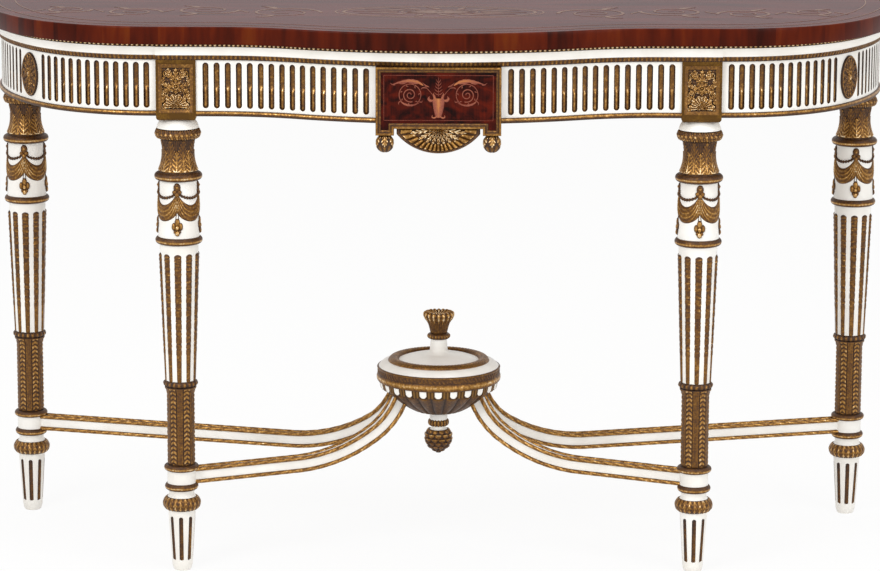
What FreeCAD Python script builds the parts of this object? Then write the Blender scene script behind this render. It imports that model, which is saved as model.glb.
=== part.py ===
import FreeCAD, Part
import math
import os
import Sketcher
from FreeCAD import Placement, Rotation, Vector

# Neoclassical console table: four turned legs on steel rods, a bowed and fluted apron with a flat back,
# a veneered top, and four stretchers that sweep up to an urn. Millimetres, +Z up, +Y towards the wall.
# The origin is on the floor under the middle of the top.

SIZES = {
    # Plan of the apron face, from the middle of the front round to the back
    "bow": 70.0,
    "bow_half": 340.0,
    "bow_convex_share": 0.63,
    "block_inset": 35.0,
    "block_width": 62.0,
    "block_depth": 66.0,
    "block_proud": 3.0,
    "corner_gap": 4.0,
    "corner_reach": 280.0,
    "corner_depth": 366.0,
    "corner_turn": 54.0,
    "corner_setback": 4.0,
    # Heights of the leg members, floor upwards
    "foot_height": 98.5,
    "foot_collar_height": 21.5,
    "cove_height": 11.0,
    "low_ring_height": 11.0,
    "stretcher_block_height": 20.5,
    "sleeve_height": 146.5,
    "shaft_height": 219.0,
    "mid_ring_height": 11.5,
    "drum_height": 89.5,
    "capital_height": 82.0,
    "neck_height": 14.5,
    # Radii of the leg members
    "toe_radius": 13.0,
    "foot_low_radius": 16.5,
    "foot_top_radius": 22.0,
    "toe_height": 14.0,
    "foot_collar_radius": 30.5,
    "foot_collar_swell": 6.8,
    "toe_swell": 1.0,
    "cove_radius": 22.5,
    "cove_hollow": 2.5,
    "low_ring_radius": 26.5,
    "stretcher_block_radius": 22.5,
    "sleeve_radius": 22.0,
    "sleeve_ring_radius": 27.5,
    "sleeve_ring_height": 10.0,
    "sleeve_flare_height": 13.0,
    "sleeve_flare": 4.5,
    "sleeve_flare_hollow": 1.0,
    "shaft_low_radius": 23.5,
    "shaft_top_radius": 30.5,
    "mid_ring_radius": 37.0,
    "drum_radius": 31.0,
    "capital_ring_radius": 37.5,
    "capital_ring_height": 12.0,
    "capital_flare_radius": 32.5,
    "capital_hollow": 5.5,
    "capital_neck_radius": 29.0,
    "capital_collar_height": 17.0,
    "capital_collar_radius": 36.5,
    "neck_low_radius": 33.0,
    "neck_top_radius": 25.0,
    "neck_swell": 1.5,
    "ring_swell": 4.5,
    # Flutes and reeds of the legs
    "shaft_flutes": 10.0,
    "foot_flutes": 8.0,
    "shaft_flute_top_gap": 14.0,
    "shaft_flute_low_gap": 2.0,
    "shaft_reed_top_radius": 6.2,
    "shaft_reed_low_radius": 4.6,
    "shaft_reed_sink": 3.4,
    "foot_flute_top_gap": 8.0,
    "foot_flute_low_gap": 15.0,
    "foot_flute_radius": 4.2,
    "reed_clearance": 0.05,
    # Steel rod through each leg
    "rod_radius": 4.0,
    "rod_clearance": 0.2,
    "rod_foot_depth": 60.0,
    "nut_radius": 7.5,
    "nut_height": 6.5,
    "nut_recess_radius": 12.0,
    "nut_recess_depth": 14.0,
    # Festoons on the drums
    "swag_thickness": 3.5,
    "swag_top_gap": 6.0,
    "swag_rise": 12.0,
    "swag_drop": 44.0,
    "swag_tail": 72.0,
    "swag_tail_width": 12.0,
    # Apron
    "block_drop": 7.0,
    "apron_height": 115.0,
    "apron_thickness": 20.0,
    "lower_bead_height": 8.5,
    "lower_bead_proud": 4.2,
    "leaf_height": 8.0,
    "leaf_proud": 7.0,
    "cornice_height": 14.0,
    "cornice_proud": 16.0,
    "pearl_height": 5.0,
    "flute_pitch": 17.0,
    "flute_width": 9.4,
    "flute_depth": 5.0,
    "flute_edge_gap": 4.0,
    "flute_end_gap": 15.0,
    "flute_floor": 1.5,
    "flute_reed_radius": 3.4,
    "flute_clearance": 0.1,
    "patera_station": 252.0,
    "patera_gap": 40.0,
    "patera_width": 50.0,
    "patera_height": 69.0,
    "patera_sink": 2.0,
    "patera_proud": 4.0,
    "patera_boss": 2.5,
    "block_ovolo": 6.0,
    "plaque_width": 46.0,
    "plaque_height": 68.0,
    "plaque_sink": 4.0,
    "plaque_thickness": 3.0,
    "plaque_boss": 2.0,
    "plaque_base_gap": 16.5,
    "plaque_boss_radius": 15.0,
    # Tablet in the middle of the front
    "tablet_foot": 28.0,
    "tablet_proud": 3.0,
    "tablet_drop": 17.0,
    "tablet_step_rise": 10.5,
    "tablet_frame_width": 8.0,
    "tablet_frame_proud": 4.0,
    "shell_half": 64.0,
    "shell_clearance": 4.0,
    "shell_strip": 9.0,
    "shell_swell": 30.0,
    "shell_thickness": 16.0,
    "drop_radius": 15.0,
    "drop_flat_angle": 62.0,
    # Top
    "top_thickness": 27.5,
    "top_overhang": 26.0,
    "back_overhang": 8.0,
    "edge_band": 5.0,
    "veneer": 1.5,
    # Stretchers and urn
    "stretcher_half_width": 8.0,
    "stretcher_half_height": 10.0,
    "stretcher_bead_radius": 3.5,
    "rise_start": 250.0,
    "rise_middle": 115.0,
    "rise_end": 75.0,
    "rise_middle_angle": 32.0,
    "rise_end_angle": 62.0,
    "tenon_radius": 5.0,
    "tenon_length": 12.0,
    "tenon_clearance": 0.15,
    "urn_setback": 185.0,
    "bowl_sit": 31.5,
    "bowl_neck_radius": 14.5,
    "bowl_neck_height": 10.0,
    "bowl_swell": 3.0,
    "bowl_course_base": 55.0,
    "bowl_course_low_radius": 92.0,
    "bowl_course_top_radius": 97.0,
    "bowl_course_height": 11.5,
    "bowl_band_radius": 100.5,
    "bowl_band_height": 24.0,
    "bowl_rim_radius": 83.0,
    "bowl_rim_height": 8.5,
    "lid_radius": 65.8,
    "lid_clearance": 0.2,
    "lid_seat": 5.0,
    "lid_ring_swell": 6.5,
    "lid_step": 1.0,
    "lid_shoulder_height": 12.0,
    "lid_dome_swell": 1.5,
    "lid_stem_radius": 13.0,
    "lid_stem_height": 24.0,
    "spigot_radius": 6.0,
    "spigot_length": 14.0,
    "spigot_clearance": 0.15,
    "finial_ring_radius": 19.0,
    "finial_ring_height": 8.5,
    "finial_waist_radius": 14.0,
    "finial_cup_radius": 24.5,
    "finial_cup_height": 28.5,
    "finial_cup_hollow": 3.0,
    "finial_crown_height": 8.0,
    "finial_crown_radius": 15.0,
    "urn_ring_swell": 2.2,
    "cone_radius": 23.0,
    "cone_height": 40.0,
    "cone_tip_radius": 4.0,
    "cone_tip_height": 4.0,
    "cone_shoulder_height": 32.5,
    "cone_shoulder_swell": 1.8,
    "cone_swell": 7.0,
    "cone_neck_radius": 12.0,
    "cone_neck_height": 7.0,
    "cone_ring_radius": 17.5,
    "cone_ring_height": 9.0,
    # Hidden frame
    "back_rail_height": 90.0,
    "rail_thickness": 20.0,
    "cross_rail_height": 60.0,
    "cleat_size": 30.0,
    "cleat_station": 300.0,
    "screw_radius": 2.0,
    "screw_head_radius": 4.0,
    "screw_head_height": 3.0,
    "screw_bite": 15.0,
}

doc = FreeCAD.newDocument("console_table")
sheet = doc.addObject("Spreadsheet::Sheet", "dims")
for row, (alias, number) in enumerate(SIZES.items(), 1):
    sheet.set(f"A{row}", alias)
    sheet.set(f"B{row}", str(number))
    sheet.setAlias(f"B{row}", alias)

# The tablet's step clears the shell, and its two feet stand outside the step
FOLLOWING = {
    "tablet_step_half": "=shell_half + shell_clearance",
    "tablet_half": "=tablet_step_half + tablet_foot",
}
for row, (alias, formula) in enumerate(FOLLOWING.items(), len(SIZES) + 1):
    sheet.set(f"A{row}", alias)
    sheet.setAlias(f"B{row}", alias)
    sheet.set(f"B{row}", formula)
    doc.recompute()

nodes = []


def size(alias):
    return float(sheet.get(alias))


def mm(expression):
    return float(sheet.evalExpression(expression))


# Levels of the leg members as sums of their heights

LEG_STACK = (
    "foot", "foot_collar", "cove", "low_ring", "stretcher_block", "sleeve",
    "shaft", "mid_ring", "drum", "capital", "neck",
)


def base_of(member):
    below = LEG_STACK[:LEG_STACK.index(member)]
    return " + ".join(f"dims.{name}_height" for name in below) or "0"


LEG_TOP = " + ".join(f"dims.{name}_height" for name in LEG_STACK)
APRON_BASE = f"({LEG_TOP} + dims.block_drop)"
APRON_TOP = f"({APRON_BASE} + dims.apron_height)"
LEAF_BASE = f"({APRON_TOP} - dims.pearl_height - dims.cornice_height - dims.leaf_height)"
STRETCHER_Z = f"({base_of('stretcher_block')} + dims.stretcher_block_height / 2)"

# Places in plan: the front line is the apron face beside the front blocks

REAR_AXIS = "(dims.corner_depth + dims.corner_gap + dims.block_width / 2)"
HALF_DEPTH = (
    f"(dims.top_overhang + dims.bow + {REAR_AXIS} + dims.block_width / 2 + dims.back_overhang) / 2"
)
LINE_Y = f"(dims.top_overhang + dims.bow - {HALF_DEPTH})"
FRONT_X = "(dims.bow_half + dims.block_inset + dims.block_width / 2)"
FRONT_Y = f"({LINE_Y} - dims.block_proud + dims.block_depth / 2)"
SIDE_X = "(dims.bow_half + dims.block_inset + dims.block_width + dims.corner_gap + dims.corner_reach)"
REAR_X = f"({SIDE_X} - dims.corner_setback + dims.block_proud - dims.block_depth / 2)"
REAR_Y = f"({LINE_Y} + {REAR_AXIS})"
URN_Y = f"({FRONT_Y} + dims.urn_setback)"
BORE = "(dims.rod_radius + dims.rod_clearance)"

LEGS = {
    "front_left": (f"-{FRONT_X}", FRONT_Y, 0),
    "front_right": (FRONT_X, FRONT_Y, 0),
    "rear_left": (f"-{REAR_X}", REAR_Y, -90),
    "rear_right": (REAR_X, REAR_Y, 90),
}


def place(item, across="0", along="0", up="0"):
    for axis, expression in (("x", across), ("y", along), ("z", up)):
        item.setExpression(f"Placement.Base.{axis}", expression)
    return item


def keep(item, label):
    item.Label = label
    nodes.append(item)
    return item


def solid_from(name, shape):
    item = doc.addObject("Part::Feature", name)
    item.Shape = shape
    item.Placement = Placement()
    return item


def block_of(name, length, width, height, across, along, up):
    box = doc.addObject("Part::Box", name)
    for side, expression in (("Length", length), ("Width", width), ("Height", height)):
        box.setExpression(side, expression)
    return place(box, across, along, up)


def rod_of(name, radius, height, across="0", along="0", up="0"):
    rod = doc.addObject("Part::Cylinder", name)
    rod.setExpression("Radius", radius)
    rod.setExpression("Height", height)
    return place(rod, across, along, up)


def cut_from(name, base, tool):
    cut = doc.addObject("Part::Cut", name)
    cut.Base = base
    cut.Tool = tool
    return cut


def joined(name, members):
    group = doc.addObject("Part::Compound", name)
    group.Links = members
    return group


def outline_sketch(body, name, role, outline):
    # Closed outline on an origin plane. Each corner is (across, up) or (across, up, swell), where swell
    # is how far the stretch to the next corner bows out of the solid; a minus sign hollows it.
    plane = next(item for item in body.Origin.OriginFeatures if item.Role == role)
    sketch = body.newObject("Sketcher::SketchObject", name)
    sketch.AttachmentSupport = [(plane, "")]
    sketch.MapMode = "FlatFace"
    corners = [Vector(mm(corner[0]), mm(corner[1]), 0) for corner in outline]
    bound = {}
    ends = []
    for index, corner in enumerate(outline):
        following = (index + 1) % len(outline)
        start, end = corners[index], corners[following]
        if len(corner) == 2:
            sketch.addGeometry(Part.LineSegment(start, end))
            ends.append((1, 2))
            continue
        swell = mm(corner[2])
        chord = end - start
        crown = (start + end) / 2 + Vector(chord.y, -chord.x, 0) * (swell / chord.Length)
        sketch.addGeometry(Part.Arc(start, crown, end))
        ends.append((1, 2) if swell > 0 else (2, 1))
        across = f"(({outline[following][0]}) - ({corner[0]}))"
        up = f"(({outline[following][1]}) - ({corner[1]}))"
        radius = f"(({across}^2 + {up}^2) / 4 + ({corner[2]})^2) / (2 * abs({corner[2]}))"
        bound[f"arc_{index}"] = (Sketcher.Constraint("Radius", index, mm(radius)), radius)
    for index, corner in enumerate(outline):
        following = (index + 1) % len(outline)
        sketch.addConstraint(
            Sketcher.Constraint("Coincident", index, ends[index][1], following, ends[following][0]))
        for kind, axis, expression in (("DistanceX", -2, corner[0]), ("DistanceY", -1, corner[1])):
            if expression == "0":
                sketch.addConstraint(Sketcher.Constraint("PointOnObject", index, ends[index][0], axis))
                continue
            rule = Sketcher.Constraint(kind, -1, 1, index, ends[index][0], mm(expression))
            bound[f"{kind}_{index}"] = (rule, expression)
    for title, (rule, expression) in bound.items():
        sketch.renameConstraint(sketch.addConstraint(rule), title)
        sketch.setExpression(f"Constraints.{title}", expression)
    return sketch


def turned(name, outline, across="0", along="0", up="0"):
    # Half outline of radius and height, revolved about the upright axis
    body = doc.addObject("PartDesign::Body", name)
    sketch = outline_sketch(body, f"{name}_outline", "XZ_Plane", outline)
    turning = body.newObject("PartDesign::Revolution", f"{name}_turning")
    turning.Profile = sketch
    turning.ReferenceAxis = (sketch, ["V_Axis"])
    turning.Angle = 360
    return place(body, across, along, up)


def sawn(name, outline, thickness, along):
    # Front outline of X and Z, padded backwards from the plane at the given Y
    body = doc.addObject("PartDesign::Body", name)
    sketch = outline_sketch(body, f"{name}_outline", "XZ_Plane", outline)
    pad = body.newObject("PartDesign::Pad", f"{name}_pad")
    pad.Profile = sketch
    pad.setExpression("Length", thickness)
    pad.Reversed = True
    return place(body, "0", along, "0")


def bored_ring(radius, height, swell):
    # Ring on the rod whose edge swells out to the given radius
    return [
        (BORE, "0"), (f"{radius} - {swell}", "0", swell), (f"{radius} - {swell}", height), (BORE, height),
    ]


# Turned leg members

SLEEVE_TOP = "(dims.sleeve_height - dims.sleeve_ring_height)"
CAPITAL_COLLAR = "(dims.capital_height - dims.capital_collar_height)"
LEG_OUTLINES = {
    "foot": [
        ("0", "0"), ("dims.toe_radius", "0", "dims.toe_swell"), ("dims.foot_low_radius", "dims.toe_height"),
        ("dims.foot_top_radius", "dims.foot_height"), (BORE, "dims.foot_height"),
        (BORE, "dims.foot_height - dims.rod_foot_depth"), ("0", "dims.foot_height - dims.rod_foot_depth"),
    ],
    "foot_collar": bored_ring("dims.foot_collar_radius", "dims.foot_collar_height", "dims.foot_collar_swell"),
    "cove": [
        (BORE, "0"), ("dims.cove_radius", "0", "-dims.cove_hollow"), ("dims.cove_radius", "dims.cove_height"),
        (BORE, "dims.cove_height"),
    ],
    "low_ring": bored_ring("dims.low_ring_radius", "dims.low_ring_height", "dims.ring_swell"),
    "stretcher_block": [
        (BORE, "0"), ("dims.stretcher_block_radius", "0"),
        ("dims.stretcher_block_radius", "dims.stretcher_block_height"), (BORE, "dims.stretcher_block_height"),
    ],
    "sleeve": [
        (BORE, "0"), ("dims.sleeve_ring_radius - dims.ring_swell", "0", "dims.ring_swell"),
        ("dims.sleeve_ring_radius - dims.ring_swell", "dims.sleeve_ring_height"),
        ("dims.sleeve_radius", "dims.sleeve_ring_height"),
        ("dims.sleeve_radius", f"{SLEEVE_TOP} - dims.sleeve_flare_height", "-dims.sleeve_flare_hollow"),
        ("dims.sleeve_radius + dims.sleeve_flare", SLEEVE_TOP),
        ("dims.sleeve_ring_radius - dims.ring_swell", SLEEVE_TOP, "dims.ring_swell"),
        ("dims.sleeve_ring_radius - dims.ring_swell", "dims.sleeve_height"), (BORE, "dims.sleeve_height"),
    ],
    "shaft": [
        (BORE, "0"), ("dims.shaft_low_radius", "0"), ("dims.shaft_top_radius", "dims.shaft_height"),
        (BORE, "dims.shaft_height"),
    ],
    "mid_ring": bored_ring("dims.mid_ring_radius", "dims.mid_ring_height", "dims.ring_swell"),
    "drum": [
        (BORE, "0"), ("dims.drum_radius", "0"), ("dims.drum_radius", "dims.drum_height"),
        (BORE, "dims.drum_height"),
    ],
    "capital": [
        (BORE, "0"), ("dims.capital_ring_radius - dims.ring_swell", "0", "dims.ring_swell"),
        ("dims.capital_ring_radius - dims.ring_swell", "dims.capital_ring_height"),
        ("dims.capital_flare_radius", "dims.capital_ring_height", "-dims.capital_hollow"),
        ("dims.capital_neck_radius", CAPITAL_COLLAR),
        ("dims.capital_collar_radius - dims.ring_swell", CAPITAL_COLLAR, "dims.ring_swell"),
        ("dims.capital_collar_radius - dims.ring_swell", "dims.capital_height"),
        (BORE, "dims.capital_height"),
    ],
    "neck": [
        (BORE, "0"), ("dims.neck_low_radius", "0", "dims.neck_swell"),
        ("dims.neck_top_radius", "dims.neck_height"), (BORE, "dims.neck_height"),
    ],
}


def tapered_rods(count, low_radius, low_height, top_radius, top_height, low_axis, top_axis):
    # Ring of leaning, round-ended rods with their axes on a cone of the given radii, one facing the front
    lean = Vector(top_axis - low_axis, 0, top_height - low_height)
    length = lean.Length
    slant = math.sqrt(0.5)
    low_end = Part.Arc(
        Vector(), Vector(low_radius * slant, 0, low_radius * (1 - slant)), Vector(low_radius, 0, low_radius))
    side = Part.LineSegment(Vector(low_radius, 0, low_radius), Vector(top_radius, 0, length - top_radius))
    top_end = Part.Arc(
        Vector(top_radius, 0, length - top_radius),
        Vector(top_radius * slant, 0, length - top_radius * (1 - slant)), Vector(0, 0, length))
    axis = Part.LineSegment(Vector(0, 0, length), Vector())
    outline = Part.Wire([edge.toShape() for edge in (low_end, side, top_end, axis)])
    rod = Part.Face(outline).revolve(Vector(), Vector(0, 0, 1), 360)
    leaning = Placement(Vector(low_axis, 0, low_height), Rotation(Vector(0, 0, 1), lean))
    rods = []
    for index in range(count):
        turn = Placement(Vector(), Rotation(Vector(0, 0, 1), 360 * index / count - 90))
        rods.append(rod.transformed(turn.multiply(leaning).toMatrix()))
    return rods


def shaft_reeds(clearance):
    # Reeds that fill the flutes of the shaft, in the shaft's own frame
    low, high = size("shaft_flute_low_gap"), size("shaft_height") - size("shaft_flute_top_gap")
    slope = (size("shaft_top_radius") - size("shaft_low_radius")) / size("shaft_height")
    inside = size("shaft_low_radius") - size("shaft_reed_sink")
    return tapered_rods(
        round(size("shaft_flutes")), size("shaft_reed_low_radius") + clearance, low - clearance,
        size("shaft_reed_top_radius") + clearance, high + clearance,
        inside + slope * low, inside + slope * high)


def foot_flutes():
    low, high = size("foot_flute_low_gap"), size("foot_height") - size("foot_flute_top_gap")
    rise = size("foot_height") - size("toe_height")
    slope = (size("foot_top_radius") - size("foot_low_radius")) / rise
    outside = size("foot_low_radius") + size("foot_flute_radius") / 2 - slope * size("toe_height")
    radius = size("foot_flute_radius")
    return tapered_rods(
        round(size("foot_flutes")), radius, low, radius, high, outside + slope * low, outside + slope * high)


def festoon(drum_radius):
    # Four draped swags and four husk tails, wrapped round the drum
    height = size("drum_height")
    level = height - size("swag_top_gap")
    outer = drum_radius + size("swag_thickness")
    reach = drum_radius * math.sin(math.pi / 4)
    wall = Part.makeCylinder(outer, height).cut(Part.makeCylinder(drum_radius, height))

    def swag_outline():
        left, right = Vector(-reach, 0, level), Vector(reach, 0, level)
        upper = Part.Arc(left, Vector(0, 0, level - size("swag_rise")), right).toShape()
        lower = Part.Arc(right, Vector(0, 0, level - size("swag_drop")), left).toShape()
        return Part.Wire([upper, lower])

    def tail_outline():
        half = size("swag_tail_width") / 2
        end = level - size("swag_tail")
        middle = (level + end) / 2
        points = [(0, height), (half, level), (half, middle), (0, end), (-half, middle), (-half, level)]
        return Part.makePolygon([Vector(x, 0, z) for x, z in points + points[:1]])

    pieces = []
    for index in range(4):
        for turn, outline in ((45, swag_outline()), (0, tail_outline())):
            prism = Part.Face(outline).extrude(Vector(0, -2 * outer, 0))
            prism.rotate(Vector(), Vector(0, 0, 1), turn + 90 * index)
            pieces.append(wall.common(prism))
    return pieces[0].fuse(pieces[1:]).removeSplitter()


groups = {"foot_collars": [], "leg_ankles": [], "leg_rings": [], "leg_drums": [], "leg_necks": []}
GROUP_OF = {
    "foot_collar": "foot_collars", "cove": "leg_ankles", "low_ring": "leg_rings", "mid_ring": "leg_rings",
    "drum": "leg_drums", "neck": "leg_necks",
}

# Stretchers: an upright plane from each leg axis to the urn axis holds the path


def stretcher_frame(tag):
    # Leg axis, unit vector towards the urn, and the distance between the two axes
    foot = Vector(mm(LEGS[tag][0]), mm(LEGS[tag][1]), mm(STRETCHER_Z))
    way = Vector(0, mm(URN_Y), foot.z) - foot
    return foot, way / way.Length, way.Length


def stretcher_path(tag, aside, above):
    # Level run, a wide rise and a tighter rise, at an offset sideways and above the middle line
    foot, way, reach = stretcher_frame(tag)
    side = Vector(-way.y, way.x, 0)
    middle, end = math.radians(size("rise_middle_angle")), math.radians(size("rise_end_angle"))
    wide = (size("rise_start") - size("rise_middle")) / math.sin(middle) - above
    tight = (size("rise_middle") - size("rise_end")) / (math.sin(end) - math.sin(middle)) - above
    origin = foot + side * aside + Vector(0, 0, above)

    def at(run, rise):
        return origin + way * run + Vector(0, 0, rise)

    level_end = reach - size("rise_start")

    def on_wide(angle):
        return level_end + wide * math.sin(angle), wide * (1 - math.cos(angle))

    middle_run, middle_rise = on_wide(middle)

    def on_tight(angle):
        run = middle_run + tight * (math.sin(angle) - math.sin(middle))
        return run, middle_rise + tight * (math.cos(middle) - math.cos(angle))

    end_run, end_rise = on_tight(end)
    spare = size("bowl_course_base")
    edges = [
        Part.LineSegment(at(0, 0), at(level_end, 0)),
        Part.Arc(at(level_end, 0), at(*on_wide(middle / 2)), at(middle_run, middle_rise)),
        Part.Arc(at(middle_run, middle_rise), at(*on_tight((middle + end) / 2)), at(end_run, end_rise)),
        Part.LineSegment(
            at(end_run, end_rise), at(end_run + spare * math.cos(end), end_rise + spare * math.sin(end))),
    ]
    return Part.Wire([edge.toShape() for edge in edges])


def stretcher_core(tag):
    # Rectangular section with a quarter round hollow on each edge for its bead
    foot, way, _ = stretcher_frame(tag)
    side = Vector(-way.y, way.x, 0)
    half_width, half_height = size("stretcher_half_width"), size("stretcher_half_height")
    hollow = size("stretcher_bead_radius")

    def at(aside, above):
        return foot + side * aside + Vector(0, 0, above)

    edges = []
    corners = [(1, 1), (-1, 1), (-1, -1), (1, -1)]
    for index, (right, top) in enumerate(corners):
        next_right, next_top = corners[(index + 1) % 4]
        centre = (right * half_width, top * half_height)
        beside = (centre[0] - right * hollow, centre[1])
        below = (centre[0], centre[1] - top * hollow)
        crown = (centre[0] - right * hollow * math.sqrt(0.5), centre[1] - top * hollow * math.sqrt(0.5))
        first, last = (below, beside) if right == top else (beside, below)
        edges.append(Part.Arc(at(*first), at(*crown), at(*last)).toShape())
        turn = (next_right * half_width, next_top * half_height)
        if right != next_right:
            onward = (turn[0] - next_right * hollow, turn[1])
        else:
            onward = (turn[0], turn[1] - next_top * hollow)
        edges.append(Part.LineSegment(at(*last), at(*onward)).toShape())
    section = Part.Wire(edges)
    return stretcher_path(tag, 0, 0).makePipeShell([section], True, False)


def stretcher_beads(tag):
    _, way, _ = stretcher_frame(tag)
    aside, above = size("stretcher_half_width"), size("stretcher_half_height")
    beads = []
    for right in (-1, 1):
        for top in (-1, 1):
            path = stretcher_path(tag, right * aside, top * above)
            start = path.Vertexes[0].Point
            ring = Part.Wire([Part.Circle(start, way, size("stretcher_bead_radius")).toShape()])
            beads.append(path.makePipeShell([ring], True, False))
    return beads


def leg_tenon(tag, clearance):
    # Round tenon from the stretcher into its leg block
    foot, way, _ = stretcher_frame(tag)
    outside = size("stretcher_block_radius")
    start = foot + way * (outside - size("tenon_length") - clearance)
    length = size("tenon_length") + size("tenon_radius") + clearance
    return Part.makeCylinder(size("tenon_radius") + clearance, length, start, way)


def urn_tenon(tag, clearance):
    # Round tenon from the stretcher's upper end into the bowl
    foot, way, reach = stretcher_frame(tag)
    end = math.radians(size("rise_end_angle"))
    lean = way * math.cos(end) + Vector(0, 0, math.sin(end))
    arrival = foot + way * (reach - size("rise_end")) + Vector(0, 0, mm(RISE))
    length = 2 * size("tenon_length") + size("tenon_radius") + clearance
    return Part.makeCylinder(size("tenon_radius") + clearance, length, arrival, lean)


WIDE_RADIUS = "((dims.rise_start - dims.rise_middle) / sin(dims.rise_middle_angle * 1deg))"
TIGHT_RADIUS = (
    "((dims.rise_middle - dims.rise_end) / "
    "(sin(dims.rise_end_angle * 1deg) - sin(dims.rise_middle_angle * 1deg)))"
)
RISE = (
    f"({WIDE_RADIUS} * (1 - cos(dims.rise_middle_angle * 1deg)) + "
    f"{TIGHT_RADIUS} * (cos(dims.rise_middle_angle * 1deg) - cos(dims.rise_end_angle * 1deg)))"
)
BOWL_Z = f"({STRETCHER_Z} + {RISE} - dims.bowl_sit)"

for tag, (across, along, facing) in LEGS.items():
    for member, outline in LEG_OUTLINES.items():
        name = f"leg_{tag}_{member}"
        height = base_of(member)
        if member in GROUP_OF:
            groups[GROUP_OF[member]].append(turned(name, outline, across, along, height))
            continue
        if member == "stretcher_block":
            body = turned(f"{name}_turning", outline, across, along, height)
            socket = solid_from(f"{name}_socket", leg_tenon(tag, size("tenon_clearance")))
            groups["leg_ankles"].append(cut_from(name, body, socket))
            continue
        if member in ("shaft", "foot"):
            body = turned(f"{name}_body", outline)
            rods = shaft_reeds(size("reed_clearance")) if member == "shaft" else foot_flutes()
            flutes = solid_from(f"{name}_flutes", Part.makeCompound(rods))
            keep(place(cut_from(name, body, flutes), across, along, height), name)
            continue
        keep(turned(name, outline, across, along, height), name)

for label, members in groups.items():
    keep(joined(label, members), label)

reeds = []
swags = []
rods = []
for tag, (across, along, facing) in LEGS.items():
    reed_set = solid_from(f"leg_{tag}_reeds", Part.makeCompound(shaft_reeds(0)))
    reeds.append(place(reed_set, across, along, base_of("shaft")))
    swag_set = solid_from(f"leg_{tag}_swags", festoon(size("drum_radius")))
    swags.append(place(swag_set, across, along, base_of("drum")))
    rod_base = "dims.foot_height - dims.rod_foot_depth"
    nut_base = f"{APRON_TOP} - dims.nut_recess_depth"
    rod_length = f"{nut_base} + dims.nut_height - ({rod_base})"
    rods.append(rod_of(f"leg_{tag}_rod", "dims.rod_radius", rod_length, across, along, rod_base))
    nut = doc.addObject("Part::Prism", f"leg_{tag}_nut_blank")
    nut.Polygon = 6
    nut.setExpression("Circumradius", "dims.nut_radius")
    nut.setExpression("Height", "dims.nut_height")
    hole = rod_of(f"leg_{tag}_nut_hole", "dims.rod_radius", "dims.nut_height")
    rods.append(place(cut_from(f"leg_{tag}_nut", nut, hole), across, along, nut_base))
keep(joined("leg_reeds", reeds), "leg_reeds")
keep(joined("leg_swags", swags), "leg_swags")
keep(joined("leg_tie_rods", rods), "leg_tie_rods")

# Urn where the stretchers meet

SPIGOT_HOLE = "(dims.spigot_radius + dims.spigot_clearance)"
SPIGOT_DEPTH = "(dims.spigot_length + dims.spigot_clearance)"
COURSE_TOP = "(dims.bowl_course_base + dims.bowl_course_height)"
BAND_TOP = f"({COURSE_TOP} + dims.bowl_band_height)"
RIM_TOP = f"({BAND_TOP} + dims.bowl_rim_height)"
SEAT_RADIUS = "(dims.lid_radius + dims.lid_clearance)"
bowl = turned("urn_bowl_turning", [
    (SPIGOT_HOLE, "0"),
    ("dims.bowl_neck_radius", "0"),
    ("dims.bowl_neck_radius", "dims.bowl_neck_height", "dims.bowl_swell"),
    ("dims.bowl_course_low_radius", "dims.bowl_course_base"),
    ("dims.bowl_course_top_radius", COURSE_TOP),
    ("dims.bowl_band_radius", COURSE_TOP),
    ("dims.bowl_band_radius", BAND_TOP),
    ("dims.bowl_rim_radius", RIM_TOP),
    (SEAT_RADIUS, RIM_TOP),
    (SEAT_RADIUS, f"{RIM_TOP} - dims.lid_seat"),
    ("0", f"{RIM_TOP} - dims.lid_seat"),
    ("0", SPIGOT_DEPTH),
    (SPIGOT_HOLE, SPIGOT_DEPTH),
], "0", URN_Y, BOWL_Z)
sockets = [urn_tenon(tag, size("tenon_clearance")) for tag in LEGS]
keep(cut_from("urn_bowl", bowl, solid_from("urn_bowl_sockets", Part.makeCompound(sockets))), "urn_bowl")

SHOULDER_TOP = "(dims.lid_seat + dims.lid_shoulder_height)"
LID_TOP = f"({SHOULDER_TOP} + dims.lid_stem_height)"
LID_Z = f"({BOWL_Z} + {RIM_TOP} - dims.lid_seat)"
keep(turned("urn_lid", [
    ("0", "0"),
    ("dims.lid_radius", "0"),
    ("dims.lid_radius", "dims.lid_seat"),
    ("dims.bowl_rim_radius", "dims.lid_seat", "dims.lid_ring_swell"),
    ("dims.lid_radius", "dims.lid_seat + dims.lid_step", "dims.lid_dome_swell"),
    ("dims.lid_stem_radius", SHOULDER_TOP),
    ("dims.lid_stem_radius", LID_TOP),
    (SPIGOT_HOLE, LID_TOP),
    (SPIGOT_HOLE, f"{LID_TOP} - {SPIGOT_DEPTH}"),
    ("0", f"{LID_TOP} - {SPIGOT_DEPTH}"),
], "0", URN_Y, LID_Z), "urn_lid")

FINIAL_RING_TOP = "(dims.spigot_length + dims.finial_ring_height)"
FINIAL_LIP = f"({FINIAL_RING_TOP} + dims.finial_cup_height)"
keep(turned("urn_finial", [
    ("0", "0"),
    ("dims.spigot_radius", "0"),
    ("dims.spigot_radius", "dims.spigot_length"),
    ("dims.finial_ring_radius - dims.urn_ring_swell", "dims.spigot_length", "dims.urn_ring_swell"),
    ("dims.finial_ring_radius - dims.urn_ring_swell", FINIAL_RING_TOP),
    ("dims.finial_waist_radius", FINIAL_RING_TOP, "-dims.finial_cup_hollow"),
    ("dims.finial_cup_radius", FINIAL_LIP),
    ("dims.finial_crown_radius", f"{FINIAL_LIP} + dims.finial_crown_height"),
    ("0", f"{FINIAL_LIP} + dims.finial_crown_height"),
], "0", URN_Y, f"{LID_Z} + {LID_TOP} - dims.spigot_length"), "urn_finial")

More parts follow.
